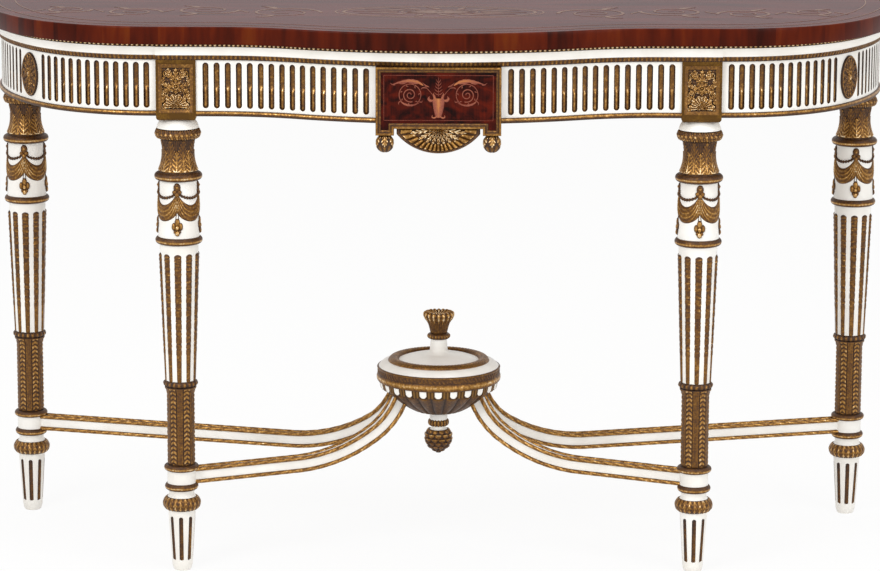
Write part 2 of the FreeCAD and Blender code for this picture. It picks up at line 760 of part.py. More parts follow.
CONE_NECK_TOP = "(dims.cone_height + dims.cone_neck_height)"
CONE_RING_TOP = f"({CONE_NECK_TOP} + dims.cone_ring_height)"
keep(turned("urn_drop", [
    ("0", "0"),
    ("dims.cone_tip_radius", "0"),
    ("dims.cone_tip_radius", "dims.cone_tip_height", "dims.cone_swell"),
    ("dims.cone_radius", "dims.cone_shoulder_height", "dims.cone_shoulder_swell"),
    ("dims.cone_neck_radius", "dims.cone_height"),
    ("dims.cone_neck_radius", CONE_NECK_TOP),
    ("dims.cone_ring_radius - dims.urn_ring_swell", CONE_NECK_TOP, "dims.urn_ring_swell"),
    ("dims.cone_ring_radius - dims.urn_ring_swell", CONE_RING_TOP),
    ("dims.spigot_radius", CONE_RING_TOP),
    ("dims.spigot_radius", f"{CONE_RING_TOP} + dims.spigot_length"),
    ("0", f"{CONE_RING_TOP} + dims.spigot_length"),
], "0", URN_Y, f"{BOWL_Z} - {CONE_RING_TOP}"), "urn_drop")

doc.recompute()

bowl_solid = bowl.Shape
all_beads = []
for tag in LEGS:
    foot = stretcher_frame(tag)[0]
    column = Part.makeCylinder(
        size("stretcher_block_radius"), 4 * size("stretcher_block_height"),
        foot - Vector(0, 0, 2 * size("stretcher_block_height")))
    sleeve_ring = doc.getObject(f"leg_{tag}_sleeve").Shape
    low_ring = doc.getObject(f"leg_{tag}_low_ring").Shape
    beads = stretcher_beads(tag)
    core = stretcher_core(tag).cut([column, bowl_solid, sleeve_ring, low_ring])
    core = core.fuse([leg_tenon(tag, 0), urn_tenon(tag, 0)]).cut(beads).removeSplitter()
    keep(solid_from(f"stretcher_{tag}", core), f"stretcher_{tag}")
    for bead in beads:
        all_beads.append(bead.cut([column, bowl_solid, sleeve_ring, low_ring]))
keep(solid_from("stretcher_beads", Part.makeCompound(all_beads)), "stretcher_beads")

# Apron face in plan, as a chain of lengths and curvatures from the middle of the front


def apron_chain():
    swing = 2 * math.atan2(size("bow"), size("bow_half"))
    reach = size("bow_half") / math.sin(swing)
    convex = reach * size("bow_convex_share")
    hollow = reach - convex
    turn = math.radians(size("corner_turn"))
    sine, cosine = math.sin(turn), math.cos(turn)
    spread = sine + cosine - 1
    front_radius = (size("corner_reach") * cosine - size("corner_depth") * (1 - sine)) / spread
    side_radius = (size("corner_depth") * sine - size("corner_reach") * (1 - cosine)) / spread
    return [
        ("bow", convex * swing, 1 / convex),
        ("hollow", hollow * swing, -1 / hollow),
        ("flat", size("block_inset") + size("block_width") + size("corner_gap"), 0),
        ("corner", front_radius * turn, 1 / front_radius),
        ("side", side_radius * (math.pi / 2 - turn), 1 / side_radius),
        ("end", size("corner_gap") + size("block_width") + size("back_overhang"), 0),
    ]


CHAIN = apron_chain()
FLAT_START = CHAIN[0][1] + CHAIN[1][1]
BLOCK_IN = FLAT_START + size("block_inset")
BLOCK_OUT = BLOCK_IN + size("block_width")
CORNER_END = sum(length for _, length, _ in CHAIN[:5]) + size("corner_gap")
APRON_END = CORNER_END + size("block_width")
TOP_END = APRON_END + size("back_overhang")
TABLET_EDGE = math.asin(size("tablet_half") * CHAIN[0][2]) / CHAIN[0][2]


def station(distance, outward=0):
    # Point and outward direction on the apron face, moved outwards
    x, y, heading = 0.0, mm(LINE_Y) - size("bow"), 0.0
    left = abs(distance)
    for _, length, bend in CHAIN:
        run = min(left, length)
        turn = heading + bend * run
        if bend:
            x += (math.sin(turn) - math.sin(heading)) / bend
            y += (math.cos(heading) - math.cos(turn)) / bend
        else:
            x += run * math.cos(heading)
            y += run * math.sin(heading)
        heading = turn
        left -= run
        if left <= 0:
            break
    side = -1 if distance < 0 else 1
    out = Vector(side * math.sin(heading), -math.cos(heading), 0)
    return Vector(side * x, y, 0) + out * outward, out


def run_edges(start, end, outward):
    # Arcs and lines along the apron face between two stations
    marks = [0.0]
    for _, length, _ in CHAIN:
        marks.append(marks[-1] + length)
    inner = sorted({mark for mark in marks + [-mark for mark in marks] if start < mark < end})
    stops = [start] + inner + [end]
    edges = []
    for first, last in zip(stops, stops[1:]):
        points = [station(distance, outward)[0] for distance in (first, (first + last) / 2, last)]
        straight = (points[1] - points[0]).cross(points[2] - points[0]).Length
        if straight < 1e-6 * (points[2] - points[0]).Length:
            edges.append(Part.LineSegment(points[0], points[2]).toShape())
        else:
            edges.append(Part.Arc(*points).toShape())
    return edges


def strip(start, end, inner, outer, base, height):
    # Upright strip between two offsets of the apron face
    front = run_edges(start, end, outer)
    back = run_edges(start, end, inner)
    ends = [
        Part.LineSegment(station(distance, inner)[0], station(distance, outer)[0]).toShape()
        for distance in (start, end)
    ]
    wire = Part.Wire(Part.__sortEdges__(front + back + ends))
    face = Part.Face(wire)
    face.translate(Vector(0, 0, base))
    return face.extrude(Vector(0, 0, height))


def moulding(start, end, outward, base, outline):
    # Section of (proud, up) or (proud, up, swell) corners, carried along the apron face
    origin, out = station(start, outward)

    def at(corner):
        return origin + out * corner[0] + Vector(0, 0, base + corner[1])

    edges = []
    for index, corner in enumerate(outline):
        following = outline[(index + 1) % len(outline)]
        first, last = at(corner), at(following)
        if len(corner) == 2:
            edges.append(Part.LineSegment(first, last).toShape())
            continue
        chord = Vector(following[0] - corner[0], following[1] - corner[1], 0)
        crown = (
            (corner[0] + following[0]) / 2 + chord.y * corner[2] / chord.Length,
            (corner[1] + following[1]) / 2 - chord.x * corner[2] / chord.Length,
        )
        edges.append(Part.Arc(first, at(crown), last).toShape())
    spine = Part.Wire(run_edges(start, end, outward))
    spine.translate(Vector(0, 0, base))
    return spine.makePipeShell([Part.Wire(edges)], True, False)


def upright_slot(spot, out, base, height, width, low, high):
    # Slot with round ends, standing on the face at a station, from one depth to another
    along = Vector(-out.y, out.x, 0)
    radius = width / 2

    def at(aside, up):
        return spot + out * low + along * aside + Vector(0, 0, base + up)

    edges = [
        Part.LineSegment(at(radius, radius), at(radius, height - radius)),
        Part.Arc(at(radius, height - radius), at(0, height), at(-radius, height - radius)),
        Part.LineSegment(at(-radius, height - radius), at(-radius, radius)),
        Part.Arc(at(-radius, radius), at(0, 0), at(radius, radius)),
    ]
    return Part.Face(Part.Wire([edge.toShape() for edge in edges])).extrude(out * (high - low))


FLUTE_BASE = mm(f"{APRON_BASE} + dims.lower_bead_height + dims.flute_edge_gap")
FLUTE_HEIGHT = mm(f"{LEAF_BASE} - dims.flute_edge_gap") - FLUTE_BASE


def flute_stations(first, last):
    count = 1 + max(1, round((last - first) / size("flute_pitch")))
    return [first + (last - first) * index / (count - 1) for index in range(count)]


def fluted(panel, stations, outward):
    # Panel with its flutes cut, and the gilt reed that lies in each one
    cutters = []
    fillings = []
    gap = size("flute_clearance")
    for distance in stations:
        spot, out = station(distance, outward)
        depth = size("flute_depth")
        cutters.append(upright_slot(spot, out, FLUTE_BASE, FLUTE_HEIGHT, size("flute_width"), -depth, depth))
        lining = upright_slot(
            spot, out, FLUTE_BASE + gap, FLUTE_HEIGHT - 2 * gap, size("flute_width") - 2 * gap,
            -depth, size("flute_floor") - depth)
        radius = size("flute_reed_radius")
        foot = spot + out * (size("flute_floor") - depth) + Vector(0, 0, FLUTE_BASE + size("flute_width") / 2)
        reed = Part.makeCylinder(radius, FLUTE_HEIGHT / 2 - size("flute_width"), foot, Vector(0, 0, 1))
        hollow = upright_slot(
            spot, out, FLUTE_BASE + gap, FLUTE_HEIGHT, size("flute_width") - 2 * gap, -depth, depth)
        fillings.append(lining.fuse(reed.common(hollow)).removeSplitter())
    return panel.cut(cutters), fillings


apron_base, apron_height = mm(APRON_BASE), size("apron_height")
tablet_gap = Part.makeBox(
    2 * size("tablet_half"), 4 * size("bow"), 2 * apron_height,
    Vector(-size("tablet_half"), mm(LINE_Y) - 2 * size("bow"), apron_base - apron_height / 2))
setback = -size("corner_setback")
thickness = size("apron_thickness")
front_reeds = []
corner_reeds = []
paterae = []
for label, side in (("left", -1), ("right", 1)):
    ends = sorted((side * TABLET_EDGE / 2, side * BLOCK_IN))
    board = strip(*ends, -thickness, 0, apron_base, apron_height).cut(tablet_gap)
    spots = flute_stations(TABLET_EDGE + size("flute_end_gap"), BLOCK_IN - size("flute_end_gap"))
    board, fillings = fluted(board, [side * spot for spot in spots], 0)
    keep(solid_from(f"front_panel_{label}", board), f"front_panel_{label}")
    front_reeds += fillings

    ends = sorted((side * BLOCK_OUT, side * CORNER_END))
    board = strip(*ends, setback - thickness, setback, apron_base, apron_height)
    middle = BLOCK_OUT + size("patera_station")
    spots = flute_stations(BLOCK_OUT + size("flute_end_gap"), middle - size("patera_gap"))
    spots += flute_stations(middle + size("patera_gap"), CORNER_END - size("flute_end_gap"))
    board, fillings = fluted(board, [side * spot for spot in spots], setback)
    corner_reeds += fillings
    spot, out = station(side * middle, setback)
    spot.z = FLUTE_BASE + FLUTE_HEIGHT / 2
    sink, proud = size("patera_sink"), size("patera_proud")
    oval = Part.Ellipse(Vector(0, 0, -sink), size("patera_height") / 2, size("patera_width") / 2)
    boss = Part.Ellipse(Vector(0, 0, proud), size("patera_height") / 4, size("patera_width") / 4)
    plate = Part.Face(Part.Wire([oval.toShape()])).extrude(Vector(0, 0, sink + proud))
    crown = Part.Face(Part.Wire([boss.toShape()])).extrude(Vector(0, 0, size("patera_boss")))
    upright = Placement(spot, Rotation(Vector(0, 0, 1), Vector(out.y, -out.x, 0), out, "XYZ"))
    patera = plate.fuse(crown)
    patera.Placement = upright
    seat = plate.copy()
    seat.Placement = upright
    board = board.cut(seat)
    paterae.append(patera)
    keep(solid_from(f"corner_panel_{label}", board), f"corner_panel_{label}")
keep(solid_from("front_flute_reeds", Part.makeCompound(front_reeds)), "front_flute_reeds")
keep(solid_from("corner_flute_reeds", Part.makeCompound(corner_reeds)), "corner_flute_reeds")
keep(solid_from("paterae", Part.makeCompound(paterae)), "paterae")

# Mouldings on the apron face

bead_height, bead_proud = size("lower_bead_height"), size("lower_bead_proud")
bead_outline = [(0, 0, bead_proud), (0, bead_height)]
leaf_height, leaf_proud = size("leaf_height"), size("leaf_proud")
leaf_outline = [(0, 0), (leaf_proud / 2, 0, leaf_height / 8), (leaf_proud, leaf_height), (0, leaf_height)]
cornice_height, cornice_proud = size("cornice_height"), size("cornice_proud")
cornice_outline = [
    (0, 0), (leaf_proud, 0, -cornice_height / 6), (cornice_proud, cornice_height), (0, cornice_height),
]
pearl_height = size("pearl_height")
pearl_outline = [
    (0, 0), (cornice_proud, 0, pearl_height / 3), (cornice_proud, pearl_height), (0, pearl_height),
]
leaf_base = mm(LEAF_BASE)
RUNS = [
    (-BLOCK_OUT, BLOCK_OUT, 0),
    (-APRON_END, -BLOCK_OUT, setback),
    (BLOCK_OUT, APRON_END, setback),
]
for label, base, outline in (
    ("leaf_moulding", leaf_base, leaf_outline),
    ("cornice", leaf_base + leaf_height, cornice_outline),
    ("pearl_string", leaf_base + leaf_height + cornice_height, pearl_outline),
):
    runs = [moulding(start, end, outward, base, outline) for start, end, outward in RUNS]
    keep(solid_from(label, Part.makeCompound(runs)), label)
beads = []
for side in (-1, 1):
    ends = sorted((side * TABLET_EDGE / 2, side * BLOCK_IN))
    beads.append(moulding(*ends, 0, apron_base, bead_outline).cut(tablet_gap))
    ends = sorted((side * BLOCK_OUT, side * CORNER_END))
    beads.append(moulding(*ends, setback, apron_base, bead_outline))
keep(solid_from("lower_bead", Part.makeCompound(beads)), "lower_bead")

# Leg blocks between the panels, each with a carved plaque let into its face


def block_blank():
    # Post with a thin facing below the leaf moulding, its lower edges rounded, in the leg's frame
    width, depth, proud = size("block_width"), size("block_depth"), size("block_proud")
    height = size("block_drop") + size("apron_height")
    post = Part.makeBox(width, depth - proud, height, Vector(-width / 2, proud - depth / 2, 0))
    facing = Part.makeBox(width, proud, mm(f"{LEAF_BASE} - ({LEG_TOP})"), Vector(-width / 2, -depth / 2, 0))
    blank = post.fuse(facing).removeSplitter()
    lower = [edge for edge in blank.Edges if edge.BoundBox.ZMax < size("block_ovolo") / 2]
    return blank.makeFillet(size("block_ovolo"), lower)


FACE = "-dims.block_depth / 2"
PLAQUE_BASE = "dims.plaque_base_gap"
PLAQUE_FACE = f"({FACE} + dims.plaque_sink - dims.plaque_thickness)"
BLOCK_HEIGHT = "dims.block_drop + dims.apron_height"
blank_shape = block_blank()
plaques = []
for tag, (across, along, facing) in LEGS.items():
    name = f"leg_block_{tag}"
    blank = solid_from(f"{name}_blank", blank_shape)
    recess = block_of(
        f"{name}_recess", "dims.plaque_width", "dims.plaque_sink", "dims.plaque_height",
        "-dims.plaque_width / 2", FACE, PLAQUE_BASE)
    bore = rod_of(f"{name}_bore", BORE, BLOCK_HEIGHT)
    nut_room = rod_of(
        f"{name}_nut_room", "dims.nut_recess_radius", "dims.nut_recess_depth",
        "0", "0", f"{BLOCK_HEIGHT} - dims.nut_recess_depth")
    waste = joined(f"{name}_waste", [recess, bore, nut_room])
    block = keep(place(cut_from(name, blank, waste), across, along, LEG_TOP), name)
    slab = block_of(
        f"{name}_plaque_slab", "dims.plaque_width", "dims.plaque_thickness", "dims.plaque_height",
        "-dims.plaque_width / 2", PLAQUE_FACE, PLAQUE_BASE)
    boss = rod_of(
        f"{name}_plaque_boss", "dims.plaque_boss_radius", "dims.plaque_boss + dims.plaque_thickness",
        "0", f"{FACE} + dims.plaque_sink", f"{PLAQUE_BASE} + dims.plaque_height / 2")
    boss.Placement.Rotation = Rotation(Vector(1, 0, 0), 90)
    plaque = doc.addObject("Part::MultiFuse", f"{name}_plaque")
    plaque.Shapes = [slab, boss]
    place(plaque, across, along, LEG_TOP)
    for item in (block, plaque):
        item.Placement.Rotation = Rotation(Vector(0, 0, 1), facing)
    plaques.append(plaque)
keep(joined("block_plaques", plaques), "block_plaques")

# Tablet: stepped mahogany board, gilt frame, shell and ball drops

TABLET_LOW = f"({APRON_BASE} - dims.tablet_drop)"
TABLET_STEP = f"({TABLET_LOW} + dims.tablet_step_rise)"
TABLET_FACE = f"({LINE_Y} - dims.bow - dims.tablet_proud)"


def stepped(inset):
    # Board outline with the middle of its lower edge raised, drawn in by an inset
    half, step = f"(dims.tablet_half - {inset})", f"(dims.tablet_step_half + {inset})"
    low, rise, high = f"({TABLET_LOW} + {inset})", f"({TABLET_STEP} + {inset})", f"({LEAF_BASE} - {inset})"
    return [
        (f"-{half}", low), (f"-{step}", low), (f"-{step}", rise), (step, rise), (step, low), (half, low),
        (half, high), (f"-{half}", high),
    ]


keep(sawn(
    "tablet_panel", stepped("0"), "dims.apron_thickness + dims.tablet_proud", TABLET_FACE), "tablet_panel")
frame_y = f"{TABLET_FACE} - dims.tablet_frame_proud"
frame_board = sawn("tablet_frame_board", stepped("0"), "dims.tablet_frame_proud", frame_y)
frame_opening = sawn(
    "tablet_frame_opening", stepped("dims.tablet_frame_width"), "dims.tablet_frame_proud", frame_y)
keep(cut_from("tablet_frame", frame_board, frame_opening), "tablet_frame")
SHELL_STRIP = f"({TABLET_STEP} - dims.shell_strip)"
keep(sawn("tablet_shell", [
    ("-dims.shell_half", TABLET_STEP), ("-dims.shell_half", SHELL_STRIP, "dims.shell_swell"),
    ("dims.shell_half", SHELL_STRIP), ("dims.shell_half", TABLET_STEP),
], "dims.shell_thickness", TABLET_FACE), "tablet_shell")
drops = []
for side in ("-", ""):
    drop = doc.addObject("Part::Sphere", f"tablet_drop{'_left' if side else '_right'}")
    drop.setExpression("Radius", "dims.drop_radius")
    drop.Angle1 = -90
    drop.setExpression("Angle2", "dims.drop_flat_angle")
    drops.append(place(
        drop, f"{side}(dims.tablet_half + dims.tablet_step_half) / 2",
        f"{TABLET_FACE} + dims.drop_radius / 2",
        f"{TABLET_LOW} - dims.drop_radius * sin(dims.drop_flat_angle * 1deg)"))
keep(joined("tablet_drops", drops), "tablet_drops")

# Top: core, veneer over it and a cross-banded edge round the front and sides


def top_slab(outward, base, height):
    outline = run_edges(-TOP_END, TOP_END, outward)
    back = Part.LineSegment(station(TOP_END, outward)[0], station(-TOP_END, outward)[0]).toShape()
    face = Part.Face(Part.Wire(outline + [back]))
    face.translate(Vector(0, 0, base))
    return face.extrude(Vector(0, 0, height))


top_base = mm(APRON_TOP)
core_outward = size("top_overhang") - size("edge_band")
core_height = size("top_thickness") - size("veneer")
core = top_slab(core_outward, top_base, core_height)
veneer = top_slab(core_outward, top_base + core_height, size("veneer"))
band = strip(-TOP_END, TOP_END, core_outward, size("top_overhang"), top_base, size("top_thickness"))

# Hidden frame under the top: back rail, cross rails, and screwed cleats

RAIL_Y = f"({REAR_Y} + dims.block_width / 2 - dims.rail_thickness)"
RAIL_HALF = f"({REAR_X} - dims.block_depth / 2)"
keep(block_of(
    "back_rail", f"2 * {RAIL_HALF}", "dims.rail_thickness", "dims.back_rail_height",
    f"-{RAIL_HALF}", RAIL_Y, f"{APRON_TOP} - dims.back_rail_height"), "back_rail")
CROSS_Y = f"({FRONT_Y} + dims.block_depth / 2)"
cross = [
    block_of(
        f"cross_rail_{label}", "dims.rail_thickness", f"{RAIL_Y} - {CROSS_Y}", "dims.cross_rail_height",
        f"{side}{FRONT_X} - dims.rail_thickness / 2", CROSS_Y, f"{APRON_TOP} - dims.cross_rail_height")
    for label, side in (("left", "-"), ("right", ""))
]
keep(joined("cross_rails", cross), "cross_rails")

CLEAT_Z = f"({APRON_TOP} - dims.cleat_size)"
CLEAT_MID = "dims.cleat_size / 2"
INNER_X = f"({FRONT_X} - dims.rail_thickness / 2 - {CLEAT_MID})"
TABLET_BACK = f"({TABLET_FACE} + dims.tablet_proud + dims.apron_thickness + {CLEAT_MID})"
CLEATS = [
    (f"-{RAIL_HALF} + dims.cleat_station", f"{RAIL_Y} - {CLEAT_MID}"),
    (f"{RAIL_HALF} - dims.cleat_station", f"{RAIL_Y} - {CLEAT_MID}"),
    (f"-{INNER_X}", URN_Y), (INNER_X, URN_Y),
    ("-dims.tablet_step_half", TABLET_BACK), ("dims.tablet_step_half", TABLET_BACK),
]
cleats = []
screws = []
pilots = []
for index, (across, along) in enumerate(CLEATS):
    blank = block_of(
        f"cleat_{index}_blank", "dims.cleat_size", "dims.cleat_size", "dims.cleat_size",
        f"{across} - {CLEAT_MID}", f"{along} - {CLEAT_MID}", CLEAT_Z)
    shank_hole = rod_of(f"cleat_{index}_hole", "dims.screw_radius", "dims.cleat_size", across, along, CLEAT_Z)
    cleats.append(cut_from(f"cleat_{index}", blank, shank_hole))
    shank = rod_of(
        f"screw_{index}_shank", "dims.screw_radius", "dims.cleat_size + dims.screw_bite",
        across, along, CLEAT_Z)
    head = rod_of(
        f"screw_{index}_head", "dims.screw_head_radius", "dims.screw_head_height",
        across, along, f"{CLEAT_Z} - dims.screw_head_height")
    screw = doc.addObject("Part::MultiFuse", f"screw_{index}")
    screw.Shapes = [shank, head]
    screws.append(screw)
    pilots.append(Part.makeCylinder(
        size("screw_radius"), size("screw_bite"), Vector(mm(across), mm(along), top_base)))
keep(joined("top_cleats", cleats), "top_cleats")
keep(joined("top_screws", screws), "top_screws")
keep(solid_from("top_core", core.cut(pilots)), "top_core")
keep(solid_from("top_veneer", veneer), "top_veneer")
keep(solid_from("top_edge_band", band), "top_edge_band")

doc.recompute()

for item in doc.Objects:
    if "Invalid" in item.State or "Error" in item.State:
        raise RuntimeError(f"{item.Name} failed: {item.State}")
for node in nodes:
    if node.Shape.isNull() or not node.Shape.isValid():
        raise RuntimeError(f"{node.Label} has no valid shape")

os.makedirs("parts", exist_ok=True)
for node in nodes:
    node.Shape.exportStep(os.path.join("parts", f"{node.Label}.step"))
print(len(nodes), "nodes written")
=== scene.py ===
import math

import bmesh
import bpy
import numpy as np
from mathutils import Matrix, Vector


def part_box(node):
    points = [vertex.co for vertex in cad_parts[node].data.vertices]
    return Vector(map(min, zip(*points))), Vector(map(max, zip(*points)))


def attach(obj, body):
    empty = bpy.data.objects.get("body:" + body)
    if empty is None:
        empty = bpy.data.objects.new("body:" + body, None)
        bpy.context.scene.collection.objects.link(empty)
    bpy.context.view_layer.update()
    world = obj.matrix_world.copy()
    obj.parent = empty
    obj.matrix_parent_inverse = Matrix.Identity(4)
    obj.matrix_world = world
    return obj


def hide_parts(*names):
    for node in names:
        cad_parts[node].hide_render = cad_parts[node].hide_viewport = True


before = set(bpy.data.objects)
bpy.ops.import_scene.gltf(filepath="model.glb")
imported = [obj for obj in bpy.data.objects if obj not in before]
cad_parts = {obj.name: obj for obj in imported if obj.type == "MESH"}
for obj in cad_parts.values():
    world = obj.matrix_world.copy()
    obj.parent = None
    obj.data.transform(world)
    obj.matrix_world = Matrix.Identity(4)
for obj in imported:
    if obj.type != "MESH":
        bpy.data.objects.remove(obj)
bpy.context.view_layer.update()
scene = bpy.context.scene
scene.view_settings.view_transform = "Standard"
mm = 0.001
pi = math.pi
print("frame loaded,", len(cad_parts), "nodes")


# Materials

def toLinear(hexText):
    # sRGB hex to linear: ((c + 0.055) / 1.055) to the power 2.4, or c / 12.92 where c is dark
    channels = [int(hexText[i:i + 2], 16) / 255 for i in (1, 3, 5)]
    return (*[c / 12.92 if c <= 0.04045 else ((c + 0.055) / 1.055) ** 2.4 for c in channels], 1.0)


def wire(tree, node, links):
    # inputs of a node by name or number: a value, a socket, or another node's first output
    for key, value in links.items():
        value = value.outputs[0] if isinstance(value, bpy.types.Node) else value
        if isinstance(value, bpy.types.NodeSocket):
            tree.links.new(value, node.inputs[key])
        else:
            node.inputs[key].default_value = value


def addNode(tree, kind, links=None, stops=(), **settings):
    # one shader node: settings are its properties, links its inputs, stops the colours of a ramp
    node = tree.nodes.new("ShaderNode" + kind)
    for key, value in settings.items():
        setattr(node, key, value)
    wire(tree, node, links or {})
    for index, (place, colour) in enumerate(stops):
        points = node.color_ramp.elements
        point = points[index] if index < 2 else points.new(place)
        point.position, point.color = place, toLinear(colour)
    return node


def newFinish(name, **sockets):
    # material with a principled shader whose fixed values stand on its own sockets
    material = bpy.data.materials.new(name)
    material.use_nodes = True
    tree = material.node_tree
    shader = tree.nodes["Principled BSDF"]
    wire(tree, shader, {key.replace("_", " "): value for key, value in sockets.items()})
    return material, tree, shader


def makePaint(name, tones, cloud, brush, drag, gloss, bump):
    # clouds of tone, and strokes drawn out upwards that change gloss and height
    material, tree, shader = newFinish(name, IOR=1.5)
    place = addNode(tree, "TexCoord").outputs["Object"]
    clouds = addNode(tree, "TexNoise", {"Vector": place, "Scale": 1 / cloud, "Detail": 3})
    dragged = addNode(tree, "Mapping", {"Vector": place, "Scale": (1, 1, drag)})
    strokes = addNode(tree, "TexNoise", {"Vector": dragged, "Scale": 1 / brush, "Detail": 4})
    wire(tree, shader, {
        "Base Color": addNode(tree, "ValToRGB", {0: clouds}, tones),
        "Roughness": addNode(tree, "MapRange", {0: strokes, 3: gloss[0], 4: gloss[1]}),
        "Normal": addNode(tree, "Bump", {"Height": strokes, "Strength": 0.25, "Distance": bump})})
    return material


def makeWearAndLight(name, tones, patch, grain, shares, metal, gloss, bump, ior=1.5):
    # the wear and the painted highlights and shade that a piece carries set tone, metal and gloss, broken up by
    # patches and by grain
    material, tree, shader = newFinish(name, IOR=ior)
    place = addNode(tree, "TexCoord").outputs["Object"]
    wearAndLight = addNode(tree, "Attribute", attribute_name="relief").outputs["Fac"]
    for size, share, detail in ((patch, shares[0], 4), (grain, shares[1], 3)):
        noise = addNode(tree, "TexNoise", {"Vector": place, "Scale": 1 / size, "Detail": detail})
        change = addNode(tree, "Math", {0: noise, 1: 0.5}, operation="SUBTRACT")
        wearAndLight = addNode(tree, "Math", {0: change, 1: share, 2: wearAndLight}, operation="MULTIPLY_ADD")
    wire(tree, shader, {
        "Base Color": addNode(tree, "ValToRGB", {0: wearAndLight}, tones),
        "Metallic": addNode(tree, "MapRange", {0: wearAndLight, 1: 0.15, 2: 0.8, 3: metal[0], 4: metal[1]}),
        "Roughness": addNode(tree, "MapRange", {0: wearAndLight, 1: 0.15, 2: 0.8, 3: gloss[0], 4: gloss[1]}),
        "Normal": addNode(tree, "Bump", {"Height": noise, "Strength": 0.35, "Distance": bump})})
    return material


def makeFigured(name, tones, flame, fibre, fibreShare, swirl, ior, **gloss):
    # long fibres over darker flame patches
    material, tree, shader = newFinish(name, IOR=ior, **gloss)
    place = addNode(tree, "TexCoord").outputs["Object"]
    stretched = [addNode(tree, "Mapping", {"Vector": place, "Scale": tuple(1 / s for s in size)})
                 for size in (flame, fibre)]
    figure = addNode(tree, "TexNoise", {"Vector": stretched[0], "Scale": 1.0, "Detail": 4, "Distortion": swirl})
    thread = addNode(tree, "TexNoise", {"Vector": stretched[1], "Scale": 1.0, "Detail": 5})
    share = addNode(tree, "Mix", {0: fibreShare, 2: figure, 3: thread}, data_type="FLOAT")
    wire(tree, shader, {
        "Base Color": addNode(tree, "ValToRGB", {0: share}, tones),
        "Normal": addNode(tree, "Bump", {"Height": thread, "Strength": 0.12, "Distance": 0.08 * mm})})
    return material


def makeCrossband(name, tones, strip, fibre, length, fibreShare, **gloss):
    # upright strips cut across the grain, each a shade of its own; run holds the distance along the edge
    material, tree, shader = newFinish(name, **gloss)
    run = addNode(tree, "Attribute", attribute_name="run").outputs["Vector"]
    along = addNode(tree, "SeparateXYZ", {0: run})
    strips = addNode(tree, "Math", {0: along, 1: 1 / strip}, operation="MULTIPLY")
    number = addNode(tree, "Math", {0: strips}, operation="FLOOR")
    shade = addNode(tree, "TexWhiteNoise", {"W": number}, noise_dimensions="1D").outputs["Value"]
    stretched = addNode(tree, "Mapping", {"Vector": run, "Scale": (1 / fibre, 1 / length, 1)})
    thread = addNode(tree, "TexNoise", {"Vector": stretched, "Scale": 1.0, "Detail": 2, "Distortion": 0.3})
    share = addNode(tree, "Mix", {0: fibreShare, 2: shade, 3: thread}, data_type="FLOAT")
    wire(tree, shader, {"Base Color": addNode(tree, "ValToRGB", {0: share}, tones)})
    return material


# oil paint on gesso: near white, satin, with faint brush drag and a little warm unevenness
whitePaint = makePaint(
    "painted_gesso", [(0.3, "#e6e2db"), (0.7, "#f3f1ec")], cloud=60 * mm, brush=2.5 * mm, drag=0.25,
    gloss=(0.32, 0.48), bump=0.12 * mm)
# water gilding on carved gesso under a dark glaze: brown in the hollows, rubbed bright on the ridges, where its
# brightest cream tone is a painted highlight
carvedGilt = makeWearAndLight(
    "antique_gilding",
    [(0.02, "#2c1708"), (0.28, "#4e2f10"), (0.5, "#764f1b"), (0.72, "#b48644"), (0.92, "#f2deb8")],
    patch=10 * mm, grain=3.2 * mm, shares=(0.4, 0.7), metal=(0.3, 0.8), gloss=(0.55, 0.3), bump=0.25 * mm)
# the same gilding on plain faces: an even, cloudy brown gold
plainGilt = makeWearAndLight(
    "rubbed_gilding", [(-0.15, "#583a0c"), (0.2, "#86601c")], patch=22 * mm, grain=3 * mm, shares=(0.5, 0.3),
    metal=(0.7, 0.8), gloss=(0.42, 0.34), bump=0.2 * mm)
# white paint on the raised tongues, gilding between them
tonguePaint = makeWearAndLight(
    "painted_and_gilt_tongues", [(0.1, "#34200c"), (0.5, "#8a6228"), (0.66, "#efece6"), (0.9, "#f3f1ec")],
    patch=30 * mm, grain=4 * mm, shares=(0.05, 0.08), metal=(0.7, 0.0), gloss=(0.4, 0.4), bump=0.1 * mm)
# polished flame veneer: dark red with darker swirls
tabletMahogany = makeFigured(
    "flame_mahogany", [(0.38, "#160504"), (0.5, "#360c06"), (0.66, "#541507")], flame=(38 * mm, 38 * mm, 26 * mm),
    fibre=(2 * mm, 2 * mm, 40 * mm), fibreShare=0.22, swirl=1.5, ior=1.16, Roughness=0.3, Coat_Weight=0.02,
    Coat_Roughness=0.1)
# polished straight-grained veneer: red brown, greyed by the sheen where it is seen flat
topMahogany = makeFigured(
    "polished_mahogany", [(0.34, "#341113"), (0.5, "#481a1a"), (0.66, "#5c2824")],
    flame=(260 * mm, 40 * mm, 40 * mm), fibre=(90 * mm, 2 * mm, 2 * mm), fibreShare=0.45, swirl=1.0, ior=1.05,
    Roughness=0.22, Coat_Roughness=0.1)
# polished crossbanding: a row of warm red and orange brown strips
crossband = makeCrossband(
    "mahogany_crossband", [(0.25, "#2e0b04"), (0.45, "#471305"), (0.62, "#551a06"), (0.9, "#682d09")],
    strip=40 * mm, fibre=15 * mm, length=90 * mm, fibreShare=0.7, Roughness=0.3, IOR=1.14, Coat_Weight=0.03,
    Coat_Roughness=0.1)
inlayWood = {"patch": 18 * mm, "grain": 1.5 * mm, "shares": (0.3, 0.35), "metal": (0.0, 0.0), "gloss": (0.35, 0.25),
             "bump": 0.02 * mm}
# sand-shaded satinwood: pinkish tan, scorched brown towards the edges
satinwood = makeWearAndLight(
    "shaded_satinwood", [(0.1, "#56221a"), (0.4, "#8c5142"), (0.62, "#ac6c40"), (0.9, "#bc855c")], ior=1.12,
    **inlayWood)
# the same wood gone grey under old polish
greyedSatinwood = makeWearAndLight(
    "greyed_satinwood", [(0.1, "#4a2c26"), (0.5, "#6c5046"), (0.9, "#866b58")], ior=1.06, **inlayWood)
